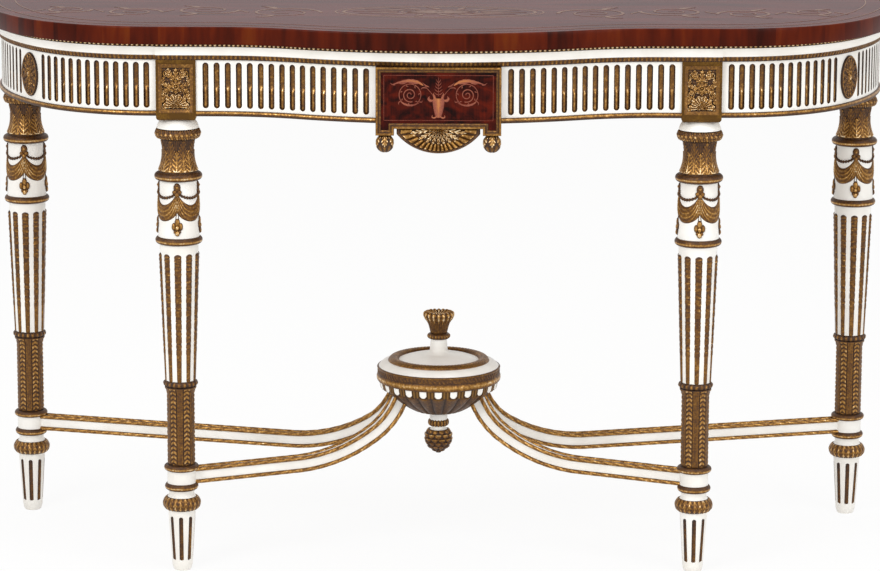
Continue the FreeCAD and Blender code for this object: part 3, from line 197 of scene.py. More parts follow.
# planed bare wood: pale brown and dull
beech = makeFigured(
    "planed_beech", [(0.3, "#8a6844"), (0.7, "#b08c62")], flame=(200 * mm, 30 * mm, 30 * mm),
    fibre=(60 * mm, 1.5 * mm, 1.5 * mm), fibreShare=0.5, swirl=0.4, ior=1.5, Roughness=0.6, Coat_Roughness=0.3)
# blued bar steel: dark grey with a dull shine
blackSteel = makeWearAndLight(
    "blued_steel", [(0.0, "#3a3b3e"), (0.5, "#6a6b6e")], patch=20 * mm, grain=1.5 * mm, shares=(0.5, 0.3),
    metal=(0.9, 0.9), gloss=(0.45, 0.35), bump=0.05 * mm)
print("materials made")


# Mesh helpers

def spanOf(node):
    # lowest and highest corner of a solid, in mm
    low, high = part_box(node)
    return np.array(low) / mm, np.array(high) / mm


def levelsOf(node):
    # lowest and highest level of a solid, in mm
    low, high = spanOf(node)
    return low[2], high[2]


def smoothStep(low, high, value):
    t = np.clip((value - low) / (high - low), 0, 1)
    return t * t * (3 - 2 * t)


def within(value, low, high, soft):
    # 1 between two limits, falling to 0 over a soft edge inside each
    return smoothStep(low, low + soft, value) * smoothStep(high, high - soft, value)


def bell(value, width):
    return np.exp(-(value / width) ** 2)


def dome(value):
    # height of a half circle of radius 1
    return np.sqrt(np.clip(1 - value ** 2, 0, 1))


def repeat(turn):
    # place across the nearest of equal repeats, from -1 to 1
    return (turn - np.round(turn)) * 2


def ribs(angle, power=1.0):
    return np.abs(np.cos(angle)) ** power


def around(count):
    # angles round a ring, as a row
    return np.linspace(0, 2 * pi, count, endpoint=False)[None, :]


def quadsOf(rows, columns, closed, ring):
    # quads between neighbours of a grid; closed joins the last column to the first, ring the last row to the first
    r = np.arange(rows if ring else rows - 1)[:, None]
    c = np.arange(columns if closed else columns - 1)[None, :]
    up, right = (r + 1) % rows, (c + 1) % columns
    corners = [r * columns + c, r * columns + right, up * columns + right, up * columns + c]
    return np.stack(np.broadcast_arrays(*corners), -1).reshape(-1, 4)


def sheetOf(points, relief=0.6, closed=True, ring=False, run=None):
    # one grid of points with its wear and painted light, and the distance along and across where a pattern follows
    # it
    shape = points.shape[:2]
    run = np.zeros((*shape, 3)) if run is None else run
    return {"points": points, "relief": np.broadcast_to(relief, shape), "closed": closed, "ring": ring, "run": run}


def capped(values):
    # a row more at each end of a tube, all at the middle of the end
    first, last = values[:1].mean(1, keepdims=True), values[-1:].mean(1, keepdims=True)
    across = (1, values.shape[1], 1)
    return np.concatenate([np.tile(first, across), values, np.tile(last, across)])


def tube(points, relief=0.6, run=None):
    # sections in a row, closed at both ends
    relief = np.broadcast_to(relief, points.shape[:2])
    relief = np.concatenate([relief[:1], relief, relief[-1:]])
    return sheetOf(capped(points), relief, run=None if run is None else capped(run))


def makePiece(name, sheets, material, nodes=(), crease=50):
    # grids joined to one mesh: equal points merge, which closes poles and ends, and faces turn outwards
    faces, first = [], 0
    for sheet in sheets:
        rows, columns = sheet["points"].shape[:2]
        faces.append(quadsOf(rows, columns, sheet["closed"], sheet["ring"]) + first)
        first += rows * columns
    mesh = bpy.data.meshes.new(name)
    mesh.from_pydata(np.concatenate([s["points"].reshape(-1, 3) for s in sheets]) * mm, [], np.concatenate(faces))
    relief = np.concatenate([s["relief"].ravel() for s in sheets]).astype(np.float32)
    mesh.attributes.new("relief", "FLOAT", "POINT").data.foreach_set("value", relief)
    run = np.concatenate([s["run"].reshape(-1, 3) for s in sheets]).astype(np.float32) * mm
    mesh.attributes.new("run", "FLOAT_VECTOR", "POINT").data.foreach_set("vector", run.ravel())
    shell = bmesh.new()
    shell.from_mesh(mesh)
    bmesh.ops.remove_doubles(shell, verts=shell.verts, dist=2e-6)
    bmesh.ops.recalc_face_normals(shell, faces=shell.faces)
    shell.to_mesh(mesh)
    shell.free()
    mesh.polygons.foreach_set("use_smooth", np.ones(len(mesh.polygons), bool))
    mesh.set_sharp_from_angle(angle=math.radians(crease))
    piece = bpy.data.objects.new(name, mesh)
    scene.collection.objects.link(piece)
    mesh.materials.append(material)
    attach(piece, "root")
    if nodes:
        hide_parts(*nodes)
    return piece


def gild(name, sheets, nodes=(), crease=70):
    makePiece(name, sheets, carvedGilt, nodes, crease)


def paint(name, sheets, nodes=()):
    makePiece(name, sheets, whitePaint, nodes)


def outlineOf(corners, step):
    # corners (across, up) joined by straight runs, or by an arc that swells out where a third value is given
    runs = []
    for here, there in zip(corners, corners[1:]):
        start, chord = np.array(here[:2], float), np.subtract(there[:2], here[:2]).astype(float)
        length = np.hypot(*chord)
        t = np.linspace(0, 1, max(2, math.ceil(length / step) + 1))[:-1, None]
        if len(here) == 2:
            flatEnd = here[1] == there[1] and 0 in (here[0], there[0])
            if flatEnd and length > 3 * step:  # it needs points near its rim only
                t = np.array([[0.0], [step / length if there[0] == 0 else 1 - step / length]])
            runs.append(start + t * chord)
            continue
        swell, half = abs(here[2]), length / 2
        radius = (half ** 2 + swell ** 2) / (2 * swell)
        angle = (2 * t - 1) * math.asin(min(1, half / radius))
        t = 0.5 + radius * np.sin(angle) / length
        rise = math.copysign(1, here[2]) * (radius * np.cos(angle) - radius + swell)
        runs.append(start + t * chord + rise * np.array([chord[1], -chord[0]]) / length)
    return np.concatenate(runs + [np.array([corners[-1][:2]], float)])


def turning(corners, count=72, step=3.0, carve=None):
    # solid of revolution: the outline (radius, height) turned about the upright axis, angle 0 facing the front,
    # lifted along the outline's normal by what carve gives for each angle, radius and height
    outline = outlineOf(corners, step)
    angle = around(count)
    radius, height = outline[:, :1], outline[:, 1:]
    lift = np.zeros((len(outline), count)) if carve is None else carve(angle, radius, height)
    slope = np.gradient(outline, axis=0)
    slope /= np.linalg.norm(slope, axis=1)[:, None]
    r, z = radius + slope[:, 1:] * lift, height - slope[:, :1] * lift
    return np.stack([r * np.sin(angle), -r * np.cos(angle), z + 0 * angle], -1), lift


def discOf(low, high, edge, topEdge, *swell):
    # outline of a disc between two heights, whose side is straight or swells out as an arc
    return [(0, low), (edge, low, *swell), (topEdge, high), (0, high)]


def wornBy(height, closed=True, passes=5):
    # wear of carving: share of the full height plus how far a point stands above the mean of its neighbours
    mean = height
    for _ in range(passes):
        edge = np.pad(mean, ((1, 1), (0, 0)), mode="edge")
        wide = np.pad(mean, ((0, 0), (1, 1)), mode="wrap" if closed else "edge")
        mean = (edge[:-2] + edge[2:] + wide[:, :-2] + wide[:, 2:] + mean) / 5
    lift = height - mean
    share = (height - height.min()) / (np.ptp(height) + 1e-9)
    return np.clip(0.1 + 0.55 * share + 0.16 * lift / (lift.std() + 1e-9), 0, 1)


def leafHeight(across, along, lobes):
    # acanthus leaf: across is -1 to 1 at its widest, along 0 at the root to 1 at the tip. Its edge is a rounded
    # taper cut into lobes, its height a dome with a raised midrib and slanting side veins
    t = np.clip(along, 0, 1)
    wave = 0.5 + 0.5 * np.cos(2 * pi * lobes * (t - 0.3 * np.abs(across)))
    half = (0.72 + 1.2 * t) * (1 - t ** 1.6) ** 0.8 * (0.76 + 0.24 * wave)
    inside = smoothStep(0, 0.16, half - np.abs(across)) * (along >= 0) * (along <= 1)
    arch = 1 - np.clip(across / (half + 1e-6), -1, 1) ** 2
    return inside * (0.42 + 0.25 * arch + 0.25 * wave * (1 - bell(across, 0.12)) + 0.3 * bell(across, 0.09))


def placeMany(local, relief, origins, axes, form=sheetOf):
    # the same grid at several places; axes hold the directions of its own x, y and z
    return [form(local @ axis + origin, relief) for origin, axis in zip(origins, axes)]


def walk(lengths, headings, count):
    # path of arcs: the heading changes evenly along each length, and the place is the sum of the small steps
    marks = np.concatenate([[0], np.cumsum(lengths)])
    distance = np.linspace(0, marks[-1], count)
    heading = np.interp(distance, marks, headings)
    middle = (heading[1:] + heading[:-1]) / 2
    along, up = (np.concatenate([[0], np.cumsum(part(middle) * distance[1])]) for part in (np.cos, np.sin))
    return marks, distance, heading, along, up


# Legs

legTags = ("front_left", "front_right", "rear_left", "rear_right")
legAxis = {tag: (sum(spanOf(f"leg_{tag}_foot")) / 2)[:2] for tag in legTags}
legLevels = {member: levelsOf(f"leg_front_left_{member}") for member in ("foot", "sleeve", "shaft", "capital")}
baseOf = {member: low for member, (low, high) in legLevels.items()}
topOf = {member: high for member, (low, high) in legLevels.items()}
drumLow, drumHigh = levelsOf("leg_drums")


def atLeg(tag, points):
    return points + np.array([*legAxis[tag], 0])


def atLegs(points, relief):
    return [sheetOf(atLeg(tag, points), relief) for tag in legTags]


def gildEachLeg(member, points, relief):
    for tag in legTags:
        gild(f"{member}_{tag}", [sheetOf(atLeg(tag, points), relief)], [f"leg_{tag}_{member}"])


def gildRows(name, sheetsAt, nodes):
    # the front legs in one piece, the rear legs in another
    for row in ("front", "rear"):
        gild(f"{name}_{row}", [sheet for tag in legTags if tag.startswith(row) for sheet in sheetsAt(tag)], nodes)


def ringHighlight(height, base, top):
    # plain half round: painted shade above and below, and a painted highlight a little below the middle
    return 0.24 + 0.54 * bell(height - (base + top) / 2 + 1, 1.6)


capital = {"ring": 37.5, "ringHeight": 12, "foot": 32.5, "neck": 29, "hollow": 5.5, "collar": 36.5,
           "collarHeight": 17, "swell": 4.5, "leaves": 8, "leafLift": 3.0, "collarLift": 2.0, "eggs": 26,
           "eggSlant": 0.32, "flutes": 24, "around": 224, "step": 0.8}


def carveCapital(angle, radius, height):
    # tall leaves climb the hollow bell behind short ones; a row of slanting eggs with darts runs round the collar
    s = capital
    up = height - baseOf["capital"]
    low, high = s["ringHeight"] + 1, topOf["capital"] - baseOf["capital"] - s["collarHeight"]
    t = (up - low) / (high - low)
    turn = angle * s["leaves"] / (2 * pi)
    short, tall = leafHeight(repeat(turn), t / 0.68, 5), leafHeight(repeat(turn - 0.5), t / 1.04, 7)
    leaves = np.maximum.reduce([short, 0.8 * tall, 0.25 * ribs(angle * s["flutes"]) + 0 * t])
    onBell = within(t, 0, 1, 0.04) * (radius > 20)
    u = 2 * (up - high) / s["collarHeight"] - 1
    v = repeat(angle * s["eggs"] / (2 * pi) + s["eggSlant"] * u)
    egg = dome(np.hypot(v / 0.78, u / 0.95)) * (0.85 + 0.15 * np.cos(9 * u))
    dart = 0.75 * bell(np.abs(v) - 1, 0.16)
    onCollar = smoothStep(1, 0.75, np.abs(u)) * (radius > 25)
    return s["leafLift"] * leaves * onBell + s["collarLift"] * np.maximum(egg, dart) * onCollar


def makeCapitals():
    s = capital
    base, top = baseOf["capital"], topOf["capital"]
    ringTop, high = base + s["ringHeight"], top - s["collarHeight"]
    ringEdge, collarEdge = s["ring"] - s["swell"], s["collar"] - s["collarLift"] - s["swell"]
    points, lift = turning([
        (0, base), (ringEdge, base, s["swell"]), (ringEdge, ringTop), (s["foot"] - 1.5, ringTop),
        (s["foot"] - 2.5, ringTop + 1, -s["hollow"]), (s["neck"] - 2, high), (collarEdge, high, s["swell"]),
        (collarEdge, top), (0, top)], s["around"], s["step"], carveCapital)
    level = points[..., 2]
    # painted shade: darker in the hollow of the bell under the collar and towards the top of the collar
    shade = 0.42 * smoothStep(ringTop, high - 6, level) * smoothStep(high + 2, high, level)  # under the collar
    relief = (0.13 + 0.76 * wornBy(lift)) * (1.1 - shade) * (1 - 0.3 * smoothStep(high + 7, high + 14, level))
    # the ring at the foot of the capital takes painted highlight and shade
    gildEachLeg("capital", points, np.where(level < ringTop + 0.3, ringHighlight(level, base, ringTop), relief))


sleeve = {"radius": 22, "ring": 27.5, "ringHeight": 10, "swell": 4.5, "flareHeight": 13, "flare": 4.5, "stems": 6,
          "pitch": 7.4, "lift": 1.6, "beads": 20, "beadLift": 1.2, "around": 192, "step": 1.2}


def carveSleeve(angle, radius, height):
    # upright stems, leaves that slant up and away from them like a herring bone, and beads round the lip
    s = sleeve
    low, high = baseOf["sleeve"] + s["ringHeight"], topOf["sleeve"] - s["ringHeight"]
    across = np.abs(repeat(angle * s["stems"] / (2 * pi)))
    stem = smoothStep(0.5, 0.36, across)
    vee = (height / s["pitch"] - 0.9 * across) % 1.0
    leaf = np.sin(pi * vee) ** 0.7 * smoothStep(0.5, 0.6, across) * (0.75 + 0.25 * smoothStep(1.0, 0.9, across))
    field = within(height, low, high, 2) * (radius > 15)
    beads = 0.5 + 0.5 * np.cos(angle * s["beads"])
    lip = bell(height - (high + s["ringHeight"] / 2), 3.6) * beads * (radius > 22)
    return s["lift"] * np.maximum(0.62 * stem, leaf) * field + s["beadLift"] * lip


def makeSleeves():
    s = sleeve
    base, top = baseOf["sleeve"], topOf["sleeve"]
    ringTop, high = base + s["ringHeight"], top - s["ringHeight"]
    edge, core = s["ring"] - s["swell"], s["radius"] - s["lift"]
    points, lift = turning([
        (0, base), (edge, base, s["swell"]), (edge, ringTop), (core, ringTop + 0.2),
        (core, high - s["flareHeight"], -1), (core + s["flare"], high),
        (edge - 1, high + 0.2, s["swell"]), (edge - 1, top), (0, top)], s["around"], s["step"], carveSleeve)
    level = points[..., 2]
    # the ring at the foot of the sleeve takes painted highlight and shade
    relief = np.where(level < ringTop, ringHighlight(level, base, ringTop), 0.06 + 0.72 * wornBy(lift))
    gildEachLeg("sleeve", points, relief)


rings = {"low": {"height": 11, "radius": 26.5, "swell": 4.5},
         "middle": {"height": 11.5, "radius": 37, "swell": 4.8}}


def makeRings():
    # plain polished rings: a half round edge turned about the leg
    low, high = levelsOf("leg_rings")
    sheets = []
    for s, base in ((rings["low"], low), (rings["middle"], high - rings["middle"]["height"])):
        top, edge = base + s["height"], s["radius"] - s["swell"]
        points, _ = turning(discOf(base, top, edge, edge, s["swell"]), count=72, step=1.0)
        # each ring takes painted highlight and shade
        sheets += atLegs(points, ringHighlight(points[..., 2], base, top))
    gild("leg_ring_set", sheets, ["leg_rings"], 50)


footCollar = {"radius": 30.5, "swell": 7.6, "leaves": 22, "lift": 1.3, "around": 196, "step": 0.8}


def makeFootCollars():
    s = footCollar
    low, high = levelsOf("foot_collars")

    def carve(angle, radius, height):
        # small leaves lie over the roll with their tips down
        t = (high - height) / (high - low)
        turn = angle * s["leaves"] / (2 * pi)
        front, behind = leafHeight(1.05 * repeat(turn), t, 3), 0.6 * leafHeight(1.5 * repeat(turn - 0.5), t, 2)
        return s["lift"] * np.maximum(front, behind) * (radius > 20) * within(t, 0, 1, 0.06)

    edge = s["radius"] - s["swell"] - s["lift"]
    points, lift = turning(discOf(low, high, edge, edge, s["swell"]), s["around"], s["step"], carve)
    gild("foot_collar_set", atLegs(points, 0.08 + 0.78 * wornBy(lift)), ["foot_collars"])


def radialFrames(count, lowRadius, topRadius, low, high):
    # feet and axes (round, up, out) of lines that lean with a cone, one at the front
    angle = np.arange(count) * 2 * pi / count
    out = np.stack([np.sin(angle), -np.cos(angle), 0 * angle], -1)
    side = np.stack([np.cos(angle), np.sin(angle), 0 * angle], -1)
    up = out * (topRadius - lowRadius) + np.array([0, 0, high - low])
    up /= np.linalg.norm(up, axis=1)[:, None]
    return out * lowRadius + np.array([0, 0, low]), np.stack([side, up, np.cross(side, up)], 1)


husk = {"count": 10, "low": -3, "topGap": 12, "pitch": 10.4, "share": 0.7, "plain": 47, "lowRadius": 5.0,
        "topRadius": 7.2, "sink": (3.4, 4.4), "shaftLow": 23.5, "shaftTop": 30.5, "rows": 190, "columns": 14}


def makeHuskReeds():
    # rod whose radius grows along the shaft; above a plain length it swells into lobed husks, pointed below
    s = husk
    low, high = baseOf["shaft"] + s["low"], topOf["shaft"] - s["topGap"]
    length = high - low
    t = np.linspace(0, 1, s["rows"])[:, None]
    angle = around(s["columns"])
    rod = s["lowRadius"] + (s["topRadius"] - s["lowRadius"]) * t
    along = t * length
    rounded = dome(1 - np.clip(np.minimum(along, length - along) / rod, 0, 1))
    drift = 1.9 * np.sin(along * 0.31) + 1.3 * np.sin(along * 0.57)  # the carver's spacing is not even
    phase = ((along - s["plain"] + drift) / s["pitch"]) % 1.0
    swollen = np.clip(np.sin(pi * np.clip(phase / s["share"], 0, 1) ** 0.8), 0, 1) ** 0.7
    inChain = along > s["plain"]
    lobes = 0.84 + 0.16 * np.cos(angle * 6)
    shape = np.where(inChain, 0.92 + 0.09 * swollen * lobes, 0.95 + 0 * angle)
    radius = np.clip(rod * rounded * shape, 0.01, None)
    local = np.stack([radius * np.sin(angle), along + 0 * angle, radius * np.cos(angle)], -1)
    # small lights wander to both sides of the husks
    first = bell((phase - 0.1) * s["pitch"], 1.1) * np.cos((angle - 0.9 * np.sin(along * 1.3)) / 2) ** 40
    second = bell((phase - 0.55) * s["pitch"], 1.0) * np.cos((angle + 1.1 * np.cos(along * 0.9)) / 2) ** 40
    husks = 0.21 + 0.12 * swollen * lobes + 0.42 * first + 0.2 * second
    relief = np.where(inChain, husks, 0.36 + 0 * angle) * smoothStep(0, 8, length - along) + 0.1
    inside = s["shaftLow"] - s["sink"][0]
    slope = (s["shaftTop"] - s["shaftLow"] - s["sink"][1] + s["sink"][0]) / (topOf["shaft"] - baseOf["shaft"])
    ends = [inside + slope * s["low"], inside + slope * (s["low"] + length)]
    origins, axes = radialFrames(s["count"], *ends, low, high)
    gildRows("husk_reeds", lambda tag: placeMany(local, relief, atLeg(tag, origins), axes, tube), ["leg_reeds"])


footFlute = {"count": 8, "low": 15, "topGap": 8, "width": 6.6, "depth": 2.6, "lowRadius": 16.5, "topRadius": 22,
             "toe": 14, "rim": 0.4}


def fluteFilling(width, length, front, back, rows=26, columns=13):
    # gilt lining of a round-ended flute: front gives its height over (across, along); sides and back close it
    t = 0.5 - 0.5 * np.cos(pi * np.linspace(0, 1, rows)[:, None])
    end = np.minimum(t, 1 - t) * length
    half = width / 2 * np.maximum(dome(1 - np.clip(2 * end / width, 0, 1)), 0.01)
    u = np.linspace(-1, 1, columns)[None, :]
    across = np.concatenate([u * half, u[:, ::-1] * half], 1)
    out = np.concatenate([front(u, t) + 0 * t, np.full((rows, columns), back)], 1)
    return np.stack([across, np.broadcast_to(t * length, across.shape), out], -1)


def makeFootGilding():
    # dark gilt in the flutes of the feet: a shallow hollow that follows the cone
    s = footFlute
    high = topOf["foot"] - s["topGap"]
    length = high - s["low"]
    slope = (s["topRadius"] - s["lowRadius"]) / (topOf["foot"] - s["toe"])
    radius = s["lowRadius"] + slope * (s["low"] - s["toe"])
    local = fluteFilling(s["width"], length, lambda u, t: -s["rim"] - s["depth"] * 0.4 * dome(u), -s["depth"])
    across, along = local[..., 0] / s["width"], local[..., 1] / length
    # painted shade: each flute darker on one side and towards its top end
    relief = 0.3 + 0.1 * np.sin(across * pi) - 0.24 * smoothStep(0.6, 1.0, along)
    origins, axes = radialFrames(s["count"], radius, radius + slope * length, s["low"], high)
    sheets = [sheet for tag in legTags for sheet in placeMany(local, relief, atLeg(tag, origins), axes)]
    gild("foot_flute_gilding", sheets, (), 50)


drum = {"low": 32.4, "top": 29.2}
swag = {"knots": 4, "upper": (15, 37), "lower": (49, 63), "lift": 3.0, "folds": 4, "gather": 0.55,
        "cordSag": (16, 26), "cord": 0.9, "cordBead": 1.7, "stalk": (45, 61),
        "stalkGap": (0.6, 2.8), "stalkRadius": 0.6}
# middle across and down, half sizes, lift and wear of the beads that make a knot, and the bell flower under it
knotBeads = [(0, 9, 6.2, 7.4, 2.8, 0.3), (0, 8.5, 2.8, 3.0, 4.0, 0.6), (-4.2, 16, 4.0, 3.6, 2.8, 0.4),
             (4.2, 16, 4.0, 3.6, 2.8, 0.4), (0, 20, 4.2, 4.6, 3.6, 0.45)]
flowerBeads = [(0, 64, 4.4, 7.0, 2.8, 0.55), (-5.6, 70, 3.4, 6.2, 2.6, 0.5), (5.6, 70, 3.4, 6.2, 2.6, 0.5),
               (0, 72, 3.6, 4.6, 3.6, 0.7), (-3.4, 78, 2.6, 3.4, 2.8, 0.3), (3.4, 78, 2.6, 3.4, 2.8, 0.3),
               (0, 80.5, 4.0, 4.8, 3.4, 0.7)]


def makeDrums():
    # plain turned drum, a little wider below
    points, _ = turning(discOf(drumLow, drumHigh, drum["low"], drum["top"]), count=72, step=8)
    paint("drum_set", atLegs(points, 0.6), ["leg_drums"])


def roundDrum(angle, height, lift):
    # angle round the drum, distance below its top and lift off its cone
    r = drum["top"] + (drum["low"] - drum["top"]) * height / (drumHigh - drumLow) + lift
    return np.stack([r * np.sin(angle), -r * np.cos(angle), drumHigh - height], -1)


def festoon(at):
    # cloth from the knot at an angle to the next: both edges hang as flattened parabolas, folds rise to the knots
    s = swag
    t, v = np.linspace(-1, 1, 41)[:, None], np.linspace(0, 1, 33)[None, :]
    fall = (1 - t ** 2) ** 0.8
    upper, lower = (edge[0] + (edge[1] - edge[0]) * fall for edge in (s["upper"], s["lower"]))
    height = (1 - v) * upper + v * lower
    fold = (0.5 + 0.5 * np.cos(2 * pi * s["folds"] * (v + 0.1 + s["gather"] * np.abs(t) ** 3))) ** 2
    lift = s["lift"] * np.sin(pi * v) ** 0.5 * (0.55 + 0.45 * fold)
    # fold crests and the middle of the cloth are brighter, more so towards the knots: rubbed gilding on the raised
    # cloth, with painted highlights along the folds
    wearAndLight = 0.3 + (0.2 + 0.34 * t ** 2) * fold * np.sin(pi * v) ** 0.3 + 0.14 * np.sin(pi * v)
    angle = at + (1 + t) * pi / s["knots"] + 0 * v
    front, back = roundDrum(angle, height, lift), roundDrum(angle, height, np.full(lift.shape, -1.0))
    return np.concatenate([front, back[:, ::-1]], 1), np.concatenate([wearAndLight, 0 * wearAndLight], 1)


def swagCord(at):
    # beaded cord over the cloth
    s = swag
    u, ring = np.linspace(-1, 1, 121)[:, None], around(8)
    fall = s["cordSag"][0] + (s["cordSag"][1] - s["cordSag"][0]) * (1 - u ** 2) ** 0.8
    radius = s["cord"] + s["cordBead"] * np.abs(np.sin(u * 5 * pi)) ** 0.6
    angle = at + (1 + u) * pi / s["knots"] + 0 * ring
    return roundDrum(angle, fall + radius * np.sin(ring), 0.5 + radius * np.cos(ring)), 0.1 * radius + 0 * ring


def makeSwags():
    # festoons and cords between four knots; knots and bell flowers are clusters of half ellipsoids, and two
    # stalks hold each flower
    s = swag
    a, b = around(14), np.linspace(0, pi, 9)[:, None]
    w, ring = np.linspace(0, 1, 8)[:, None], around(8)
    one = []
    for at in np.arange(s["knots"]) * 2 * pi / s["knots"]:
        one += [(tube, *festoon(at)), (tube, *swagCord(at))]
        for x, y, halfX, halfY, rise, shade in knotBeads + flowerBeads:
            turn, fall = (x + halfX * np.sin(b) * np.sin(a)) / drum["low"], y + halfY * np.sin(b) * np.cos(a)
            bead = roundDrum(at + turn, fall, 0.3 + rise * np.cos(b) + 0 * a)
            one.append((sheetOf, bead, 0.12 + shade * np.clip(np.cos(b), 0, 1) + 0 * a))
        gap, drop = (ends[0] + (ends[1] - ends[0]) * w for ends in (s["stalkGap"], s["stalk"]))
        for side in (-1, 1):
            stalk = roundDrum(at + (side * gap + s["stalkRadius"] * np.sin(ring)) / drum["low"], drop + 0 * ring,
                              0.2 + s["stalkRadius"] * np.cos(ring) + 0 * w)
            one.append((tube, stalk, 0.15))
    gildRows("festoons", lambda tag: [form(atLeg(tag, points), relief) for form, points, relief in one],
             ["leg_swags"])


makeCapitals()
makeSleeves()
makeRings()
makeFootCollars()
makeHuskReeds()
makeFootGilding()
makeDrums()
makeSwags()
print("legs carved")


# Apron

plan = {"bow": 70, "bowHalf": 340, "convexShare": 0.63, "inset": 35, "block": 62, "gap": 4, "cornerReach": 280,
        "cornerDepth": 366, "cornerTurn": 54, "setback": -4, "backOverhang": 8, "overhang": 26, "blockProud": 3}


def planLengths(s):
    # lengths and headings of the apron's face from its middle: bow out, bow in, block, two corner arcs, end
    swing, turn = 2 * math.atan2(s["bow"], s["bowHalf"]), math.radians(s["cornerTurn"])
    reach = s["bowHalf"] / math.sin(swing)
    spread = math.sin(turn) + math.cos(turn) - 1
    frontRadius = (s["cornerReach"] * math.cos(turn) - s["cornerDepth"] * (1 - math.sin(turn))) / spread
    sideRadius = (s["cornerDepth"] * math.sin(turn) - s["cornerReach"] * (1 - math.cos(turn))) / spread
    lengths = [reach * s["convexShare"] * swing, reach * (1 - s["convexShare"]) * swing,
               s["inset"] + s["block"] + s["gap"], frontRadius * turn, sideRadius * (pi / 2 - turn),
               s["gap"] + s["block"] + s["backOverhang"]]
    return lengths, [0, swing, 0, 0, turn, pi / 2, pi / 2], reach * s["convexShare"]


planRuns, planTurns, bowRadius = planLengths(plan)
marks, planDistance, planHeading, planX, planY = walk(planRuns, planTurns, 20001)
planY = planY + spanOf("leg_block_front_left")[0][1] + plan["blockProud"] - plan["bow"]
blockIn = marks[2] + plan["inset"]
blockOut = blockIn + plan["block"]
cornerEnd = marks[5] + plan["gap"]
apronEnd = cornerEnd + plan["block"]
topEnd = apronEnd + plan["backOverhang"]
tabletHalf = spanOf("tablet_panel")[1][0]
tabletEdge = math.asin(tabletHalf / bowRadius) * bowRadius


def station(distance, outward=0.0):
    # points of the apron's face at distances from its middle, left negative, moved outwards, and the ways out
    side, run = np.sign(distance), np.abs(distance)
    heading = np.interp(run, planDistance, planHeading)
    out = np.stack([side * np.sin(heading), -np.cos(heading)], -1)
    spot = np.stack([side * np.interp(run, planDistance, planX), np.interp(run, planDistance, planY)], -1)
    return spot + out * np.asarray(outward)[..., None], out


def apronFrames(distance, outward, level):
    # places on the apron face at a level, with the directions along, up and out
    spot, out = station(distance, outward)
    flat = np.zeros((len(distance), 1))
    along, up = np.concatenate([-out[:, 1:], out[:, :1], flat], 1), np.tile([0.0, 0, 1], (len(distance), 1))
    return np.concatenate([spot, flat + level], 1), np.stack([along, up, np.concatenate([out, flat], 1)], 1)


def alongApron(start, end, outward, section, step, carve=None):
    # moulding: a closed section of (proud, up) points carried along the face, lifted outwards by carve(distance)
    distance = np.linspace(start, end, max(3, math.ceil(abs(end - start) / step) + 1))[:, None]
    proud = outward + section[None, :, 0] + (0 * distance if carve is None else carve(distance))
    spot, _ = station(distance + 0 * proud, proud)
    points = np.concatenate([spot, np.broadcast_to(section[None, :, 1:], (*proud.shape, 1))], -1)
    run = np.stack(np.broadcast_arrays(distance, section[None, :, 1], 0 * proud), -1)
    return points, run


faceRuns = [(-blockOut, blockOut, 0.0), (-apronEnd, -blockOut, plan["setback"]),
            (blockOut, apronEnd, plan["setback"])]
beadRuns = [(side * a, side * b, c) for side in (-1, 1)
            for a, b, c in ((tabletEdge, blockIn, 0.0), (blockOut, cornerEnd, plan["setback"]))]
leafBand = {"proud": 7, "back": -3, "pitch": 7.0, "lift": 1.6, "rows": 9, "step": 0.8}
pearl = {"pitch": 7.4, "radius": 2.7, "proud": 15.0, "sink": 0.6, "bed": 1.2}
lowerBead = {"proud": 4.2, "height": 8.5}


def makeLeafBand():
    # a leaning face cut into leaf tips with darts between them
    s, sheets = leafBand, []
    low, high = levelsOf("leaf_moulding")
    up = np.linspace(0, 1, s["rows"])
    face = np.stack([s["proud"] * (0.42 + 0.42 * up ** 1.4), low + (high - low) * up], -1)
    section = np.concatenate([face, [[s["back"], high], [s["back"], low]]])
    rise, onFace = np.concatenate([up, [0.5, 0.5]]), np.concatenate([np.ones(s["rows"]), [0, 0]])

    def carve(distance):
        u = repeat(distance / s["pitch"])
        leaf, dart = leafHeight(u * 1.1, 1 - rise + 0 * u, 2), 0.5 * bell(np.abs(u) - 1, 0.2)
        return s["lift"] * onFace * np.maximum(leaf, dart)

    for start, end, outward in faceRuns:
        points, run = alongApron(start, end, outward, section, s["step"], carve)
        sheets.append(tube(points, 0.05 + 0.55 * carve(run[:, :1, 0]) / s["lift"]))
    gild("leaf_band", sheets, ["leaf_moulding"])


def makePearls():
    # small balls in a row on a plain bed
    s, sheets = pearl, []
    low, high = levelsOf("pearl_string")
    a, b = around(8), np.linspace(0, pi, 6)[:, None]
    ball = s["radius"] * np.stack([np.sin(b) * np.cos(a), np.sin(b) * np.sin(a), np.cos(b) + 0 * a], -1)
    pearlHighlight = 0.12 + 0.8 * smoothStep(0.35, 0.7, ball @ np.array([0, -0.95, 0.3]) / s["radius"])  # painted highlight on the front of each pearl, a little above its middle
    face = s["proud"] - s["bed"]
    bed = np.array([[0, low], [face, low], [face, high], [0, high]])
    for start, end, outward in faceRuns:
        count = int((end - start) / s["pitch"])
        middles = start + (np.arange(count) + 0.5) * (end - start) / count
        spots, _ = station(middles, outward + s["proud"] - s["sink"])
        sheets += [sheetOf(ball + np.array([x, y, (low + high) / 2]), pearlHighlight) for x, y in spots]
        sheets.append(tube(alongApron(start, end, outward, bed, 12)[0], 0.08))
    gild("pearls", sheets, ["pearl_string"], 50)


def makeLowerBead():
    # a half round, with a painted highlight along its upper front and painted shade below
    s = lowerBead
    low = levelsOf("lower_bead")[0]
    turn = np.linspace(-pi / 2, pi / 2, 13)
    face = np.stack([s["proud"] * np.cos(turn), low + s["height"] / 2 * (1 + np.sin(turn))], -1)
    section = np.concatenate([face, [[-1, low + s["height"]], [-1, low]]])
    shade = 0.16 + 0.5 * np.concatenate([np.cos(turn - 0.5) ** 6, [0, 0]])
    sheets = [tube(alongApron(*run, section, 6)[0], shade[None, :]) for run in beadRuns]
    gild("lower_bead_run", sheets, ["lower_bead"], 50)


